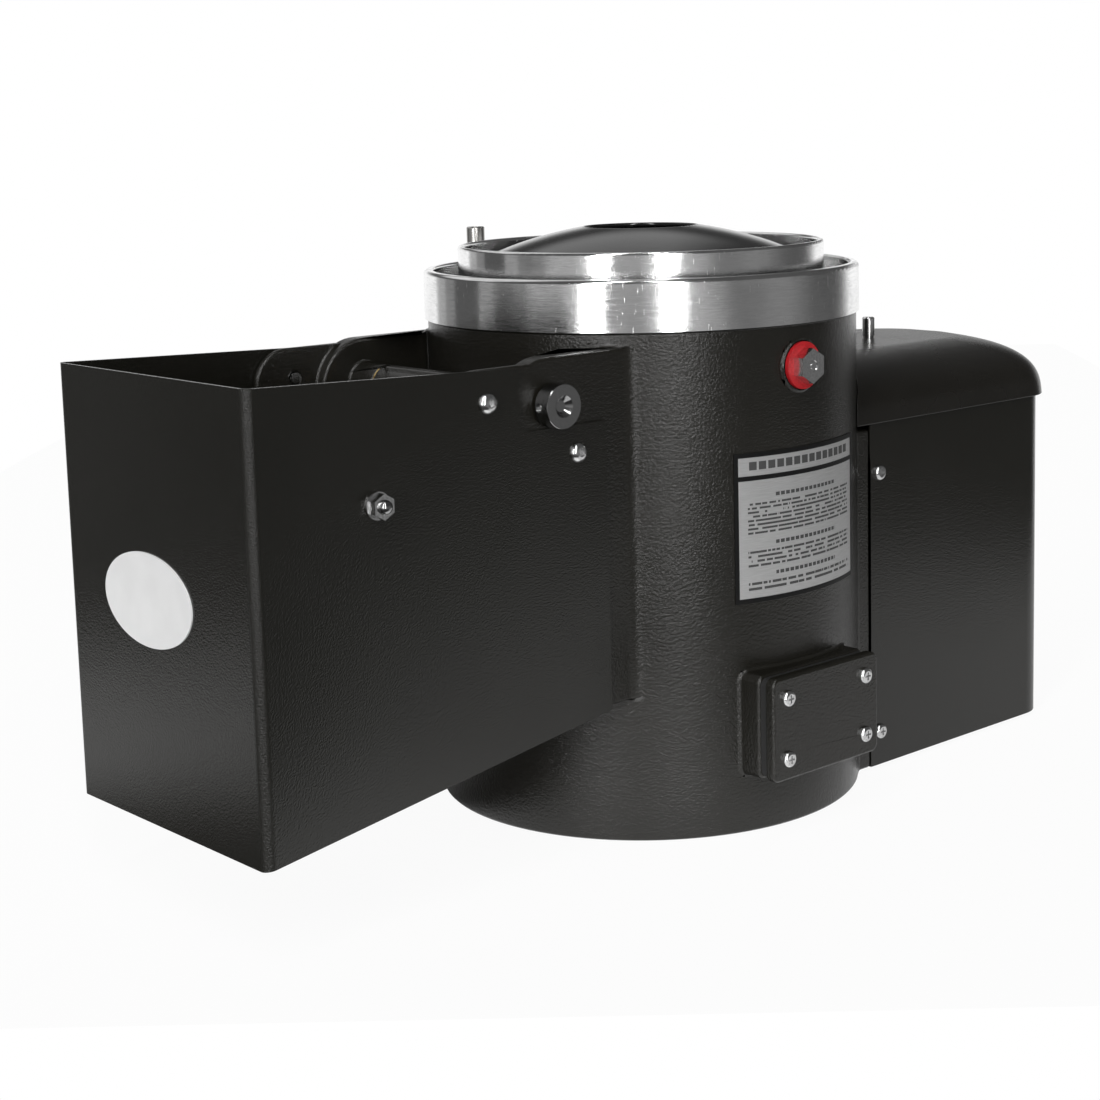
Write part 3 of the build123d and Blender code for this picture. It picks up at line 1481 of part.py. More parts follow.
with BuildPart() as discharge_door:
    with BuildSketch(Plane.YZ.offset(door_back)):
        with Locations((0, (door_low + door_high) / 2)):
            RectangleRounded(2 * door_half, door_high - door_low, throat_rim)
    extrude(amount=door_thick)
    with BuildSketch(Plane.YZ.offset(door_back)):
        with Locations((-door_rib_y, (door_low + door_high) / 2), (door_rib_y, (door_low + door_high) / 2)):
            RectangleRounded(door_rib_wide, door_high - door_low - 2 * throat_rim, door_rib_wide / 3)
    extrude(amount=-door_rib_high)
    with BuildSketch(Plane.XZ):
        with BuildLine():
            Polyline(
                (hinge_x - knuckle_r, hinge_z),
                (hinge_x - knuckle_r, hinge_z - knuckle_r),
                (door_back, door_high - 2 * hood_thick),
                (door_face, door_high - 2 * hood_thick),
                (door_face, hinge_z + hood_round),
                (hinge_x, hinge_z + knuckle_r),
                (hinge_x - knuckle_r / 2, hinge_z + knuckle_r),
                close=True,
            )
        make_face()
    extrude(amount=knuckle_half - hood_round, both=True)
    with BuildSketch(Plane.XZ):
        with Locations((hinge_x, hinge_z)):
            Circle(knuckle_r)
    extrude(amount=knuckle_half, both=True)
    with BuildSketch(Plane.XZ):
        with Locations((hinge_x, hinge_z)):
            Circle(shaft_r + thread_gap)
    extrude(amount=knuckle_half, both=True, mode=Mode.SUBTRACT)
discharge_door.part.label = "discharge_door"
export_step(discharge_door.part, "parts/discharge_door.step")

with BuildPart() as door_seal:
    with BuildSketch(Plane.YZ.offset(door_face)):
        with Locations((0, (throat_low + throat_high) / 2)):
            RectangleRounded(2 * (throat_half + seal_band), throat_high - throat_low + 2 * seal_band, throat_rim)
            RectangleRounded(2 * throat_half, throat_high - throat_low, throat_rim / 2, mode=Mode.SUBTRACT)
    extrude(amount=door_gap - door_seal_gap)
door_seal.part.label = "door_seal"
export_step(door_seal.part, "parts/door_seal.step")

# Door shaft, front collar with its grub screw, and the rear lever
collar_face = guard_half + collar_disc_thick
shaft_front = guard_half + collar_bore_deep
shaft_rear = guard_half + lever_hub_thick
pin_y = guard_half + (lever_hub_thick - lever_arm_thick) / 2
grub_y = guard_half + collar_bore_deep / 2

with BuildPart() as door_shaft:
    with BuildSketch(Plane.XZ.offset(shaft_front)):
        with Locations((hinge_x, hinge_z)):
            Circle(shaft_r)
    extrude(amount=-(shaft_front + shaft_rear))
    with BuildSketch(Plane.YZ.offset(hinge_x - lever_hub_r)):
        with Locations((pin_y, hinge_z)):
            Circle(lever_pin_r + run_gap)
    extrude(amount=2 * lever_hub_r, mode=Mode.SUBTRACT)
door_shaft.part.label = "door_shaft"
export_step(door_shaft.part, "parts/door_shaft.step")

with BuildPart() as door_collar:
    with BuildSketch(Plane.XZ.offset(guard_half)):
        with Locations((hinge_x, hinge_z)):
            Circle(collar_disc_r)
    extrude(amount=collar_disc_thick)
    chamfer(door_collar.edges().group_by(Axis.Y)[0] + door_collar.edges().group_by(Axis.Y)[-1], slip_gap)
    with BuildSketch(Plane.XZ.offset(guard_half)):
        with Locations((hinge_x, hinge_z)):
            Circle(shaft_r + run_gap)
    extrude(amount=collar_bore_deep, mode=Mode.SUBTRACT)
    with BuildSketch(Plane.XZ.offset(collar_face)):
        with Locations((hinge_x, hinge_z)):
            Circle(collar_cone_r)
    extrude(amount=-collar_cone_deep, taper=collar_cone_slope, mode=Mode.SUBTRACT)
    with BuildSketch(Plane.YZ.offset(hinge_x)):
        with Locations((-grub_y, hinge_z)):
            Circle(grub_r + thread_gap)
    extrude(amount=-2 * collar_disc_r, mode=Mode.SUBTRACT)
door_collar.part.label = "door_collar"
export_step(door_collar.part, "parts/door_collar.step")

with BuildPart() as collar_grub_screw:
    with BuildSketch(Plane.YZ.offset(hinge_x - shaft_r - run_gap)):
        with Locations((-grub_y, hinge_z)):
            Circle(grub_r)
    extrude(amount=-grub_long)
    with BuildSketch(Plane.YZ.offset(hinge_x - shaft_r - run_gap - grub_long)):
        with Locations((-grub_y, hinge_z)):
            RegularPolygon(grub_r / 2, 6)
    extrude(amount=grub_long / 2, mode=Mode.SUBTRACT)
collar_grub_screw.part.label = "collar_grub_screw"
export_step(collar_grub_screw.part, "parts/collar_grub_screw.step")

grip_z = hinge_z - lever_arm

with BuildPart() as door_lever:
    with BuildSketch(Plane.XZ.offset(-guard_half)):
        with Locations((hinge_x, hinge_z)):
            Circle(lever_hub_r)
    extrude(amount=-lever_hub_thick)
    with BuildSketch(Plane.XZ.offset(-shaft_rear)):
        with Locations((hinge_x, (hinge_z + grip_z) / 2)):
            SlotCenterToCenter(lever_arm, lever_arm_wide, rotation=90)
    extrude(amount=lever_arm_thick)
    fillet(door_lever.faces().sort_by(Axis.Y)[-1].edges(), lever_edge)
    with BuildSketch(Plane.XZ.offset(-guard_half)):
        with Locations((hinge_x, hinge_z)):
            Circle(shaft_r + run_gap)
        with Locations((hinge_x, grip_z)):
            Circle(grip_stud_r + run_gap)
    extrude(amount=-lever_hub_thick, mode=Mode.SUBTRACT)
    with BuildSketch(Plane.YZ.offset(hinge_x - lever_hub_r)):
        with Locations((pin_y, hinge_z)):
            Circle(lever_pin_r + run_gap)
    extrude(amount=2 * lever_hub_r, mode=Mode.SUBTRACT)
door_lever.part.label = "door_lever"
export_step(door_lever.part, "parts/door_lever.step")

with BuildPart() as lever_pin:
    with BuildSketch(Plane.YZ.offset(hinge_x - lever_hub_r)):
        with Locations((pin_y, hinge_z)):
            Circle(lever_pin_r)
    extrude(amount=2 * lever_hub_r)
lever_pin.part.label = "lever_pin"
export_step(lever_pin.part, "parts/lever_pin.step")

with BuildPart() as lever_grip:
    with BuildSketch(Plane.XZ.offset(-shaft_rear)):
        with Locations((hinge_x, grip_z)):
            Circle(grip_r)
    extrude(amount=-grip_long)
    fillet(lever_grip.edges().group_by(Axis.Y)[-1], grip_r * 0.7)
    fillet(lever_grip.edges().group_by(Axis.Y)[0], grip_r / 4)
    with BuildSketch(Plane.XZ.offset(-shaft_rear)):
        with Locations((hinge_x, grip_z)):
            Circle(grip_stud_r)
    extrude(amount=lever_arm_thick)
lever_grip.part.label = "lever_grip"
export_step(lever_grip.part, "parts/lever_grip.step")
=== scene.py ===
import json
from math import atan2, cos, hypot, radians, sin

import bpy
from mathutils import Matrix, Vector

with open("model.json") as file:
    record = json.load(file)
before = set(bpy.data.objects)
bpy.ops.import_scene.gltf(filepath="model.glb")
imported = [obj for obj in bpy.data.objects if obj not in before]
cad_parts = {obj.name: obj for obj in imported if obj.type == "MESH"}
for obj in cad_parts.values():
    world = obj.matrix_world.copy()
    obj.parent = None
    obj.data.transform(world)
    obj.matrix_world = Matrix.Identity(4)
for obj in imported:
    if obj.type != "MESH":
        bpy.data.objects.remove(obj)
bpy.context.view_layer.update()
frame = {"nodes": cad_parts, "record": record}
nodes = frame["nodes"]

# The view of the photograph: where the camera stands, in metres, which way it faces, and its lens.
camera_at = Vector((-1.0743, -1.1434, 0.5063))
facing = Vector((0.6826, 0.7308, 0.0))
sideways = Vector((0.7308, -0.6826, 0.0))
pitch = radians(8.3)
roll = radians(-1.19)
sensor_width_mm = 36.0
focal_length_mm = 67.287
shift_x, shift_y = -0.0802, -0.1152


class Socket:
    """A socket of a shader, so that sums on it read as ordinary Python."""

    def __init__(self, finish, end):
        self.finish, self.end = finish, end

    def math(self, operation, *others):
        values = dict(enumerate((self,) + others))
        return self.finish.node("ShaderNodeMath", {"operation": operation}, values)

    def __add__(self, other):
        return self.math("ADD", other)

    def __sub__(self, other):
        return self.math("SUBTRACT", other)

    def __rsub__(self, other):
        return self.finish.node("ShaderNodeMath", {"operation": "SUBTRACT"}, {0: other, 1: self})

    def __mul__(self, other):
        return self.math("MULTIPLY", other)

    def __truediv__(self, other):
        return self.math("DIVIDE", other)

    def __pow__(self, other):
        return self.math("POWER", other)

    def __abs__(self):
        return self.math("ABSOLUTE")

    def __gt__(self, other):
        return self.math("GREATER_THAN", other)

    def __lt__(self, other):
        return self.math("LESS_THAN", other)

    __radd__ = __add__

    def soft(self, low, high):
        """0 at low and 1 at high, with a smooth step between; low may be the larger of the two."""
        settings = {"interpolation_type": "SMOOTHSTEP"}
        return self.finish.node("ShaderNodeMapRange", settings, {0: self, 1: low, 2: high, 3: 0.0, 4: 1.0})


class Finish:
    """A node tree being written: each call to node() adds one node and gives one of its outputs."""

    def __init__(self, tree):
        self.tree = tree
        tree.nodes.clear()

    def node(self, kind, settings=None, values=None, out=0):
        made = self.tree.nodes.new(kind)
        for name, setting in (settings or {}).items():
            if name == "stops":
                stops = made.color_ramp.elements
                stops.remove(stops[1])
                stops[0].position, stops[0].color = setting[0]
                for place, colour in setting[1:]:
                    stops.new(place).color = colour
            elif name == "interpolation":
                made.color_ramp.interpolation = setting
            else:
                setattr(made, name, setting)
        for name, value in (values or {}).items():
            if isinstance(value, Socket):
                self.tree.links.new(value.end, made.inputs[name])
            else:
                made.inputs[name].default_value = value
        return Socket(self, made.outputs[out]) if len(made.outputs) else made

    def place(self):
        """The point being shaded, in metres from the drum's foot."""
        return self.node("ShaderNodeTexCoord", out="Object")

    def parts(self, vector):
        """The x, y and z of a vector."""
        split = self.node("ShaderNodeSeparateXYZ", {}, {0: vector}).end.node
        return [Socket(self, end) for end in split.outputs]

    def vector(self, x, y, z):
        return self.node("ShaderNodeCombineXYZ", {}, {0: x, 1: y, 2: z})

    def noise(self, scale, detail=2.0, at=None, rough=0.5, stretch=None):
        at = at or self.place()
        if stretch:
            at = self.node("ShaderNodeMapping", {}, {"Vector": at, "Scale": stretch})
        values = {"Vector": at, "Scale": scale, "Detail": detail, "Roughness": rough}
        return self.node("ShaderNodeTexNoise", {}, values)

    def cells(self, scale, smooth):
        values = {"Vector": self.place(), "Scale": scale, "Smoothness": smooth}
        return self.node("ShaderNodeTexVoronoi", {"feature": "SMOOTH_F1"}, values)

    def mix(self, share, first, second):
        """The first colour where share is 0, and the second where it is 1."""
        settings = {"data_type": "RGBA", "clamp_factor": True}
        return self.node("ShaderNodeMix", settings, {0: share, 6: first, 7: second}, out=2)

    def relief(self, height, depth, strength):
        """A normal that follows the height, with its full range as deep as depth, in metres."""
        values = {"Height": height, "Distance": depth, "Strength": strength}
        return self.node("ShaderNodeBump", {}, values)

    def each(self, operation, first, level):
        """The same sum on all three parts of a colour."""
        values = {0: first, 1: (level, level, level)}
        return self.node("ShaderNodeVectorMath", {"operation": operation}, values)

    def rays(self):
        """Three sockets: 1 where a point is seen straight on, in a mirror, and through glass."""
        path = self.node("ShaderNodeLightPath").end.node
        kinds = ("Is Camera Ray", "Is Glossy Ray", "Is Transmission Ray")
        return [Socket(self, path.outputs[kind]) for kind in kinds]


def colour(red, green, blue):
    """A colour in linear light, as a shader's socket takes it."""
    return (red, green, blue, 1.0)


def grey(level):
    return (level, level, level, 1.0)


def surface(name, write, **values):
    """A material of the rumbler: write() gives the sockets that vary, values the ones that don't."""
    material = bpy.data.materials.new(name)
    material.use_nodes = True
    finish = Finish(material.node_tree)
    inputs = {key.replace("_", " "): value for key, value in values.items()}
    inputs.update(write(finish))
    shader = finish.node("ShaderNodeBsdfPrincipled", {}, inputs)
    finish.node("ShaderNodeOutputMaterial", {}, {"Surface": shader})
    material.diffuse_color = grey(0.1)
    return material


# ---- paint ------------------------------------------------------------------------------------

# The two tones of each paint. Slow clouds of noise lead from the first to the second.
casting_tones = colour(0.0095, 0.0088, 0.0066), colour(0.0120, 0.0112, 0.0088)
sheet_tones = colour(0.0088, 0.0084, 0.0063), colour(0.0108, 0.0103, 0.0082)
cap_tones = colour(0.0082, 0.0073, 0.0056), colour(0.0096, 0.0087, 0.0070)

# How far from the guard's outer corners, in metres, its duller paint starts and is at its dullest.
fold_outer, fold_inner = 0.007, 0.004


def hammered_paint(finish):
    """Textured black paint on the castings: soft dimples about 2 mm across, with a finer grain."""
    dimples = finish.noise(560.0, 2.5)
    grain = finish.noise(1500.0, 2.0)
    clouds = finish.noise(16.0, 3.0)
    height = dimples + grain * 0.3
    flecks = finish.noise(2600.0, 1.0).soft(0.70, 0.78)
    return {
        "Base Color": finish.mix(clouds.soft(0.3, 0.75), *casting_tones),
        "Roughness": clouds * 0.06 + flecks * 0.12 + 0.20,
        "Normal": finish.relief(height, 0.0006, 0.7),
    }


def sheet_paint(finish):
    """Finer textured paint on the folded sheet, duller and coarser along the folds of the guard."""
    grain = finish.noise(800.0, 3.0)
    swirl = finish.noise(60.0, 3.0)
    clouds = finish.noise(9.0, 3.0)
    corners = [v.co for v in nodes["chute_guard"].data.vertices]
    end, side = min(c.x for c in corners), max(c.y for c in corners)
    x, y, _ = finish.parts(finish.place())
    fold = (x - end).soft(fold_outer, fold_inner) * (abs(y) - side).soft(-fold_outer, -fold_inner)
    return {
        "Base Color": finish.mix(clouds.soft(0.3, 0.75), *sheet_tones),
        "Roughness": swirl * 0.05 + fold * 0.22 + 0.17,
        "Normal": finish.relief(grain * (1.0 + fold * 1.5), 0.0004, 0.5),
    }


def cap_paint(finish):
    """Smooth satin paint on the rounded motor cap."""
    grain = finish.noise(900.0, 2.0)
    clouds = finish.noise(12.0, 3.0)
    return {
        "Base Color": finish.mix(clouds.soft(0.3, 0.7), *cap_tones),
        "Roughness": clouds * 0.06 + 0.24,
        "Normal": finish.relief(grain, 0.0002, 0.3),
    }


# ---- metals -----------------------------------------------------------------------------------

pipe_tones = colour(0.60, 0.59, 0.57), colour(0.50, 0.49, 0.47)
brass_tones = colour(0.75, 0.55, 0.24), colour(0.50, 0.34, 0.13)


def turned_rings(finish):
    """Lathe-turned rings: fine marks and longer streaks round the drum axis, smudges and a few scratches."""
    x, y, z = finish.parts(finish.place())
    radius = (x * x + y * y) ** 0.5
    turn = x.math("ARCTAN2", y)
    marks = finish.noise(1.0, 3.0, finish.vector(radius * 9000.0, turn * 9.0, z * 9000.0), 0.6)
    streaks = finish.noise(1.0, 4.0, finish.vector(radius * 900.0, turn * 14.0, z * 900.0), 0.65)
    smudge = finish.noise(26.0, 4.0)
    nicks = finish.noise(1.0, 2.0, finish.vector(turn * 420.0, radius * 500.0, z * 70.0)).soft(0.70, 0.76)
    worn = streaks.soft(0.35, 0.7)
    return {
        "Base Color": finish.mix(smudge.soft(0.35, 0.7) * 0.6 + worn * 0.4, grey(0.92), grey(0.72)),
        "Roughness": smudge * 0.06 + worn * 0.10 + marks * 0.04 + nicks * 0.15 + 0.03,
        "Normal": finish.relief(marks + streaks * 0.8 + nicks * 0.5, 0.00004, 0.6),
    }


def bright_plating(finish):
    """Bright zinc plate on the screws and small fixings."""
    blotch = finish.noise(700.0, 2.0)
    return {
        "Base Color": finish.mix(blotch.soft(0.3, 0.7), grey(0.82), grey(0.62)),
        "Roughness": blotch * 0.12 + 0.12,
        "Normal": finish.relief(blotch, 0.00005, 0.3),
    }


def ground_steel(finish):
    """Ground steel of the door's shaft and collar: fine lines along y."""
    lines = finish.noise(1.0, 2.0, stretch=(6000.0, 60.0, 6000.0))
    return {
        "Base Color": finish.mix(lines.soft(0.3, 0.7), grey(0.42), grey(0.30)),
        "Roughness": lines * 0.08 + 0.12,
        "Normal": finish.relief(lines, 0.00002, 0.3),
    }


def machined_steel(finish):
    """Turned steel of the spindle and bearings."""
    x, y, z = finish.parts(finish.place())
    marks = finish.noise(1.0, 2.0, finish.vector((x * x + y * y) ** 0.5 * 5000.0, 0.0, z * 5000.0))
    return {
        "Base Color": finish.mix(marks.soft(0.3, 0.7), grey(0.55), grey(0.42)),
        "Roughness": marks * 0.12 + 0.24,
        "Normal": finish.relief(marks, 0.00003, 0.3),
    }


def drawn_pipe(finish):
    """Drawn water pipe: faint lines along it."""
    lines = finish.noise(1.0, 2.0, stretch=(5000.0, 5000.0, 50.0))
    return {
        "Base Color": finish.mix(lines.soft(0.3, 0.7), *pipe_tones),
        "Roughness": lines * 0.12 + 0.2,
        "Normal": finish.relief(lines, 0.00002, 0.3),
    }


def brass(finish):
    """Brass of the elbow and the door's bushes, a little tarnished."""
    tarnish = finish.noise(90.0, 3.0)
    return {
        "Base Color": finish.mix(tarnish.soft(0.35, 0.75), *brass_tones),
        "Roughness": tarnish * 0.25 + 0.12,
        "Normal": finish.relief(tarnish, 0.00005, 0.3),
    }


def grey_iron(finish):
    """Bare grey iron of the pulleys."""
    skin = finish.noise(600.0, 4.0)
    return {
        "Base Color": finish.mix(skin.soft(0.3, 0.7), grey(0.10), grey(0.06)),
        "Roughness": skin * 0.2 + 0.5,
        "Normal": finish.relief(skin, 0.0004, 0.6),
    }


def plain_casting(finish):
    """Unpainted cast aluminium."""
    skin = finish.noise(500.0, 4.0)
    return {
        "Base Color": finish.mix(skin.soft(0.3, 0.7), grey(0.52), grey(0.42)),
        "Roughness": skin * 0.2 + 0.32,
        "Normal": finish.relief(skin, 0.0003, 0.5),
    }


# ---- the rest ---------------------------------------------------------------------------------

washer_tones = colour(0.52, 0.012, 0.018), colour(0.34, 0.007, 0.010)


def gloss_moulding(finish):
    """The black dome: glossy, with the faintest ripple and dust."""
    ripple = finish.noise(30.0, 2.0)
    dust = finish.noise(2600.0, 1.0).soft(0.68, 0.8)
    return {
        "Base Color": finish.mix(dust * 0.25, grey(0.014), grey(0.05)),
        "Roughness": ripple * 0.05 + dust * 0.2 + 0.10,
        "Normal": finish.relief(ripple, 0.0004, 0.2),
    }


def rubber(finish):
    """Matte black rubber of the gaskets, seals and belt."""
    grain = finish.noise(900.0, 3.0)
    return {
        "Base Color": finish.mix(grain, grey(0.012), grey(0.022)),
        "Roughness": grain * 0.2 + 0.5,
        "Normal": finish.relief(grain, 0.0001, 0.5),
    }


def red_fibre(finish):
    """Red fibre washers of the water ports."""
    fibres = finish.noise(1200.0, 3.0)
    return {
        "Base Color": finish.mix(fibres.soft(0.3, 0.7), *washer_tones),
        "Roughness": fibres * 0.2 + 0.35,
        "Normal": finish.relief(fibres, 0.0001, 0.5),
    }


def grit_coat(finish):
    """Coarse silicon-carbide grit bonded to the disc."""
    grains = finish.cells(650.0, smooth=0.15)
    tint = finish.noise(700.0, 2.0)
    return {
        "Base Color": finish.mix(tint.soft(0.35, 0.65), grey(0.02), grey(0.075)),
        "Roughness": tint * 0.3 + 0.5,
        "Normal": finish.relief(1.0 - grains, 0.0012, 0.9),
    }


def moulded(first, second):
    """Finely grained moulded plastic, in two tones of one colour."""

    def write(finish):
        grain = finish.noise(1100.0, 2.0)
        return {
            "Base Color": finish.mix(grain.soft(0.3, 0.7), first, second),
            "Roughness": grain * 0.15 + 0.3,
            "Normal": finish.relief(grain, 0.00008, 0.4),
        }

    return write


def badge_face(finish):
    """The bare white badge."""
    clouds = finish.noise(40.0, 2.0)
    return {
        "Base Color": finish.mix(clouds.soft(0.3, 0.7), grey(0.86), grey(0.82)),
        "Roughness": clouds * 0.1 + 0.3,
    }


# The label's print. Widths, margins and the rule's heights above the floor are in metres, and the
# places down the label are shares of its height from the top.
label_border = 0.0033
label_rule = (0.2562, 0.2596)
title_band, title_margin = (0.06, 0.115), 0.011
blocks_per_metre, block_gap = 125.0, 0.22
head_places, head_half_height, head_margin = [0.29, 0.61, 0.815], 0.012, 0.034
dots_per_metre, dot_gap, head_shift = 210.0, 0.25, 9.0
# Groups of broken lines: top, bottom and how many. The breaks come from noise, another piece of it
# for each line and group.
line_groups = [(0.335, 0.555, 8), (0.655, 0.775, 4), (0.865, 0.935, 2)]
line_margin, line_breaks = 0.0105, 0.43
dashes_per_metre, line_shift, group_shift = 260.0, 3.7, 90.0
print_strength = 0.9


def label_face(finish):
    """Silver label without words: a black border, a rule, and broken lines where instructions would stand."""
    corners = [v.co for v in nodes["label_plate"].data.vertices]
    turns = [atan2(-c.x, -c.y) for c in corners]
    low, high = min(c.z for c in corners), max(c.z for c in corners)
    start, stop = min(turns), max(turns)
    reach = max(hypot(c.x, c.y) for c in corners)
    x, y, z = finish.parts(finish.place())
    turn = (x * -1.0).math("ARCTAN2", y * -1.0)
    across = (abs(turn - (start + stop) / 2) * -1.0 + (stop - start) / 2) * reach
    up = (abs(z - (low + high) / 2) * -1.0) + (high - low) / 2
    border = across.math("MINIMUM", up) < label_border
    rule = (z > label_rule[0]) * (z < label_rule[1])
    black = (border + rule).math("MINIMUM", 1.0)
    down = (z * -1.0 + high) / (high - low)
    along = turn * reach
    title = (down > title_band[0]) * (down < title_band[1]) * (across > title_margin)
    lines = title * ((along * blocks_per_metre).math("FRACT") > block_gap)
    for top, bottom, count in line_groups:
        phase = (down - top) / (bottom - top) * float(count)
        shift = phase.math("FLOOR") * line_shift + top * group_shift
        spot = finish.vector(along * dashes_per_metre, shift, 0.0)
        dashes = finish.noise(1.0, 1.0, spot) > line_breaks
        row = (phase > 0.0) * (phase < float(count)) * (phase.math("FRACT") < 0.5)
        lines = lines + row * (across > line_margin) * dashes
    for centre in head_places:
        row = (abs(down - centre) < head_half_height) * (across > head_margin)
        lines = lines + row * ((along * dots_per_metre + centre * head_shift).math("FRACT") > dot_gap)
    lines = lines.math("MINIMUM", 1.0) * (1.0 - black) * print_strength
    brushed = finish.noise(1.0, 2.0, stretch=(90.0, 90.0, 5000.0))
    silver = finish.mix(brushed.soft(0.3, 0.7), grey(0.56), grey(0.45))
    return {
        "Base Color": finish.mix(black, finish.mix(lines, silver, grey(0.02)), grey(0.006)),
        "Metallic": (1.0 - black) * (1.0 - lines) * 0.6,
        "Roughness": brushed * 0.1 + 0.40,
        "Normal": finish.relief(brushed, 0.00002, 0.3),
    }


# One material for each material slot of the object.
finishes = {
    "casting_paint": surface("casting_paint", hammered_paint),
    "sheet_paint": surface("sheet_paint", sheet_paint),
    "cap_paint": surface("cap_paint", cap_paint),
    "turned_aluminium": surface("turned_aluminium", turned_rings, Metallic=1.0),
    "gloss_black": surface("gloss_black", gloss_moulding),
    "label_silver": surface("label_silver", label_face, Specular_IOR_Level=0.2),
    "black_rubber": surface("black_rubber", rubber),
    "zinc_steel": surface("zinc_steel", bright_plating, Metallic=1.0),
    "bright_steel": surface("bright_steel", ground_steel, Metallic=1.0),
    "bearing_steel": surface("bearing_steel", machined_steel, Metallic=1.0),
    "steel_pipe": surface("steel_pipe", drawn_pipe, Metallic=1.0),
    "red_fibre": surface("red_fibre", red_fibre),
    "bright_brass": surface("bright_brass", brass, Metallic=1.0),
    "cast_iron": surface("cast_iron", grey_iron, Metallic=0.6),
    "cast_aluminium": surface("cast_aluminium", plain_casting, Metallic=1.0),
    "grit": surface("grit", grit_coat),
    "black_plastic": surface("black_plastic", moulded(grey(0.012), grey(0.018))),
    "green_plastic": surface("green_plastic", moulded(colour(0.02, 0.30, 0.06), colour(0.02, 0.24, 0.05))),
    "red_plastic": surface("red_plastic", moulded(colour(0.60, 0.02, 0.02), colour(0.50, 0.015, 0.015))),
    "badge_white": surface("badge_white", badge_face),
}

for subpart in frame["record"]["subparts"]:
    cad = nodes[subpart["node"]]
    cad.data.materials.clear()
    cad.data.materials.append(finishes[subpart["material_slot"]])


# Edges sharper than this are rounded, in so many steps.
sharp_edge, rounding_steps = radians(35.0), 3
# Before that, corners closer than this, in metres, and faces flatter to each other than this are joined.
same_corner, same_face = 0.00002, radians(0.6)
# How much more a large face counts than a small one for the shading of a rounded edge.
face_weight = 80


def rounded_edges(names, width):
    """Rounds the edges of castings and folded sheet by the radius that the paint and the mould leave."""
    for name in names:
        weld = nodes[name].modifiers.new("joined_corners", "WELD")
        weld.merge_threshold = same_corner
        plain = nodes[name].modifiers.new("plain_faces", "DECIMATE")
        plain.decimate_type, plain.angle_limit = "DISSOLVE", same_face
        bevel = nodes[name].modifiers.new("rounded_edges", "BEVEL")
        bevel.width, bevel.segments = width, rounding_steps
        bevel.limit_method, bevel.angle_limit = "ANGLE", sharp_edge
        bevel.use_clamp_overlap, bevel.miter_outer = False, "MITER_ARC"
        shading = nodes[name].modifiers.new("even_shading", "WEIGHTED_NORMAL")
        shading.mode, shading.weight, shading.keep_sharp = "FACE_AREA", face_weight, False


rounded_edges(["drum_body"], 0.0025)
rounded_edges(["outlet_cover", "waste_spigot", "discharge_door"], 0.0012)
rounded_edges(["motor_cap"], 0.0008)


# ---- the camera, the light and the table ------------------------------------------------------


def photograph_camera():
    """The camera that took the photograph, as solved from the object's outlines."""
    forward = facing * cos(pitch) + Vector((0.0, 0.0, -sin(pitch)))
    up = facing * sin(pitch) + Vector((0.0, 0.0, cos(pitch)))
    right = sideways * cos(roll) + up * sin(roll)
    up = up * cos(roll) - sideways * sin(roll)
    lens = bpy.data.cameras.new("camera")
    lens.sensor_width, lens.lens = sensor_width_mm, focal_length_mm
    lens.shift_x, lens.shift_y = shift_x, shift_y
    camera = bpy.data.objects.new("camera", lens)
    bpy.context.scene.collection.objects.link(camera)
    camera.matrix_world = Matrix.Translation(camera_at) @ Matrix((right, up, -forward)).transposed().to_4x4()
    bpy.context.scene.camera = camera


# The studio's walls: where each band of brightness starts, in degrees to the right of the camera's
# own side, and its brightness. The two strip lights are the bright ones.
strip_light = 12.0
studio_bands = [
    (-180, 1.0), (-166, 0.78), (-155, 0.68), (-144, 0.55), (-134, 0.42), (-124, 0.22), (-114, 0.09),
    (-97, 0.11), (-93, 0.36), (-82, 0.2), (-71, 0.25), (-61, 0.46), (-40, 0.6), (-30, strip_light),
    (-22, 0.45), (-19, 0.34), (-8, 0.33), (1, 0.5), (5, 0.75), (11, strip_light), (19.5, 0.6),
    (24, 0.48), (33, 0.36), (43, 0.17), (64, 0.2), (85, 0.15), (95, 0.1), (126, 0.3), (136, 0.42),
    (147, 0.5), (157, 0.65), (168, 0.8),
]
# The most that a wall gives low down, and the ceiling, the soft box and the ground.
low_wall_level, ceiling_level, soft_box_level, ground_level = 0.25, 0.08, 0.7, 0.05
# Where one part of the room gives way to the next: as the sine of the angle above eye level, or as
# the share of a direction that points away from the camera (back) or to its right (side).
walls_start, ceiling_start, ground_start = (-0.14, -0.085), (0.08, 0.25), (-0.24, -0.4)
box_low, box_high, box_back, box_side = (0.34, 0.48), (0.95, 0.8), (0.1, -0.15), (0.2, 0.04)
backdrop_top, backdrop_back = (0.3, -0.02), (-0.68, -0.74)


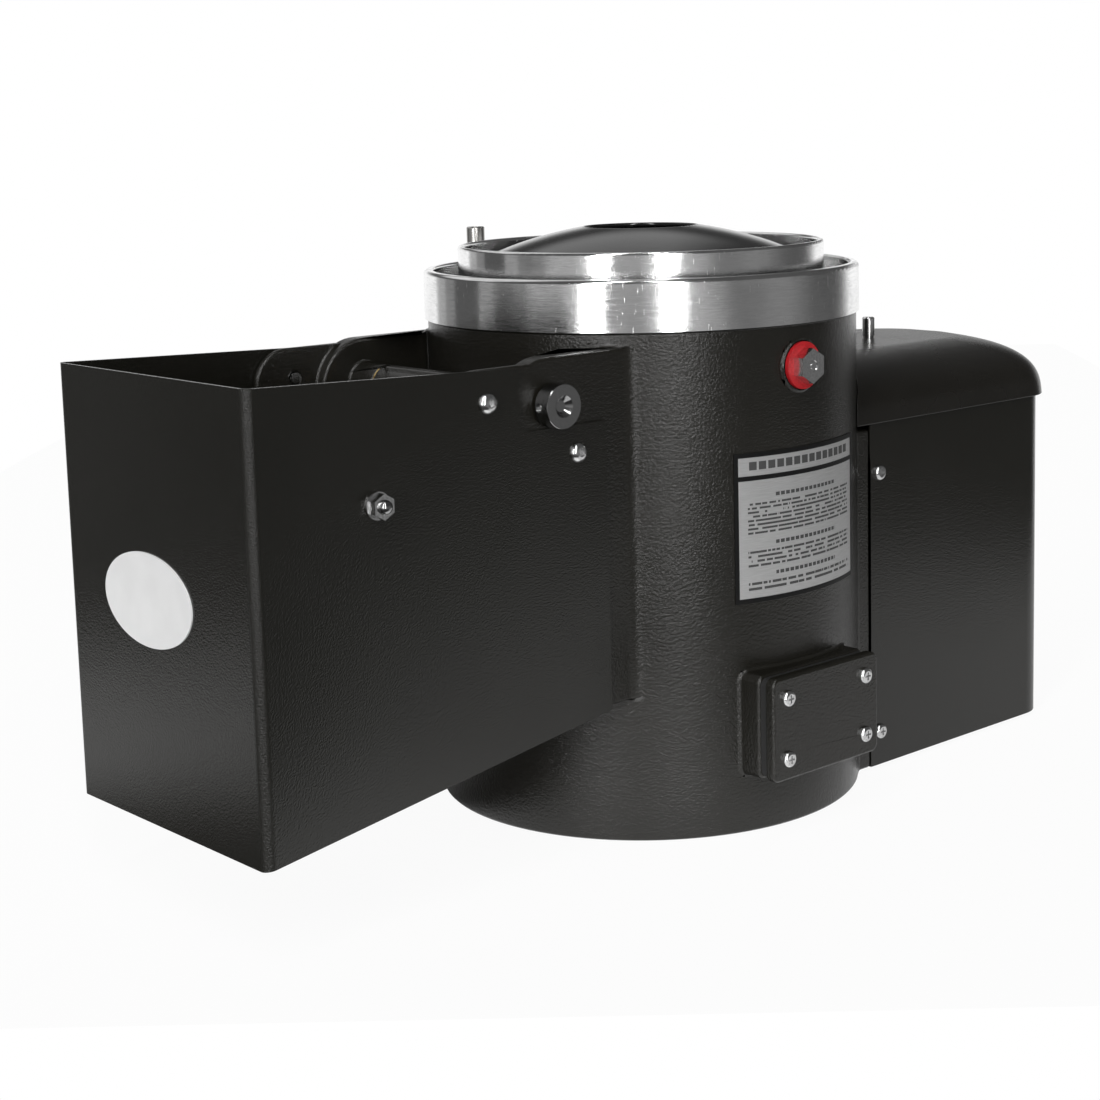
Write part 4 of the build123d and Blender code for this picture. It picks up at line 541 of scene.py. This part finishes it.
def studio():
    """Soft studio round the object: tall strip lights in front, a white wall behind, a soft box above."""
    world = bpy.data.worlds.new("studio")
    bpy.context.scene.world = world
    world.use_nodes = True
    finish = Finish(world.node_tree)
    x, y, z = finish.parts(finish.node("ShaderNodeTexCoord", out="Generated"))
    ahead = x * -facing.x + y * -facing.y
    aside = x * sideways.x + y * sideways.y
    compass = aside.math("ARCTAN2", ahead) / radians(360.0) + 0.5
    stops = [((angle + 180) / 360.0, grey(level / strip_light)) for angle, level in studio_bands]
    walls = finish.node("ShaderNodeValToRGB", {"interpolation": "CONSTANT", "stops": stops}, {"Fac": compass})
    walls = finish.each("MULTIPLY", walls, strip_light)
    low_walls = finish.each("MINIMUM", walls, low_wall_level)
    room = finish.mix(z.soft(*walls_start), low_walls, walls)
    lamps = finish.each("MAXIMUM", finish.each("SUBTRACT", room, 1.0), ceiling_level)
    room = finish.mix(z.soft(*ceiling_start), room, lamps)
    soft_box = z.soft(*box_low) * z.soft(*box_high) * ahead.soft(*box_back) * aside.soft(*box_side)
    room = finish.mix(soft_box, room, grey(soft_box_level))
    room = finish.mix(z.soft(*ground_start), room, grey(ground_level))
    seen, mirrored, through = finish.rays()
    mirrored_wall = mirrored * ahead.soft(*backdrop_back) * z.soft(*backdrop_top)
    backdrop = (seen + through + mirrored_wall).math("MINIMUM", 1.0)
    values = {"Color": finish.mix(backdrop, room, grey(1.0)), "Strength": 1.0}
    light = finish.node("ShaderNodeBackground", {}, values)
    finish.node("ShaderNodeOutputWorld", {}, {"Surface": light})


# The table: its edges as seen from the camera and its height, in metres, its shades of white, and the painted
# shadow and painted glow that only mirrors show on it.
table_near, table_far, table_left, table_right = -0.45, 3.0, -0.98, 0.93
table_height = -0.0005
table_shades = grey(0.90), grey(0.92)
# Painted shadow: the table's grey where mirrors see it under and in front of the guard.
painted_shadow_grey = grey(0.12)
# The glow's share, evenly white to the camera, and the painted dimmer glow by the motor that only mirrors
# show.
glow_share, painted_dim_glow_at_motor = 0.94, grey(0.68)
# Where the painted shadow under the guard and the painted glow by the drum and motor start and are full, in
# metres to the right of the drum axis or beyond it.
guard_right, guard_left, guard_far = (-0.13, -0.17), (-0.62, -0.5), (0.0, -0.12)
motor_side, left_side = (0.08, 0.22), (-0.16, -0.12)


def table_top():
    """The white table, as wide and deep as its reflection in the painted sheet shows. In mirrors it carries a
    painted shadow under and in front of the guard, and a painted glow from the drum's foot rightwards that is
    dimmer by the motor.
    """
    material = bpy.data.materials.new("table_white")
    material.use_nodes = True
    finish = Finish(material.node_tree)
    seen, mirrored, through = finish.rays()
    x, y, _ = finish.parts(finish.place())
    aside, ahead = x * sideways.x + y * sideways.y, x * facing.x + y * facing.y
    # A painted shadow on the table, seen only in mirrors, under and in front of the guard.
    painted_shadow_under_guard = aside.soft(*guard_right) * aside.soft(*guard_left) * ahead.soft(*guard_far) * mirrored
    white = finish.mix(finish.noise(3.0, 2.0), *table_shades)
    white = finish.mix(painted_shadow_under_guard, white, painted_shadow_grey)
    white = finish.node("ShaderNodeBsdfDiffuse", {}, {"Color": white})
    # Painted light: seen in mirrors, the table glows from the drum's foot rightwards, dimmer by the motor.
    glow = finish.mix(mirrored * aside.soft(*motor_side), grey(1.0), painted_dim_glow_at_motor)
    glow = finish.node("ShaderNodeEmission", {}, {"Color": glow, "Strength": 1.0})
    painted_glow_in_mirrors = mirrored * aside.soft(*left_side)
    share = (seen + through + painted_glow_in_mirrors).math("MINIMUM", 1.0) * glow_share
    shader = finish.node("ShaderNodeMixShader", {}, {0: share, 1: white, 2: glow})
    finish.node("ShaderNodeOutputMaterial", {}, {"Surface": shader})
    left, right = sideways * table_left, sideways * table_right
    near, far = facing * table_near, facing * table_far
    corners = [near + left, near + right, far + right, far + left]
    mesh = bpy.data.meshes.new("table_top")
    mesh.from_pydata([(c.x, c.y, table_height) for c in corners], [], [(0, 1, 2, 3)])
    table = bpy.data.objects.new("table_top", mesh)
    bpy.context.scene.collection.objects.link(table)
    mesh.materials.append(material)


bpy.context.scene.view_settings.view_transform = "Standard"
photograph_camera()
studio()
table_top()
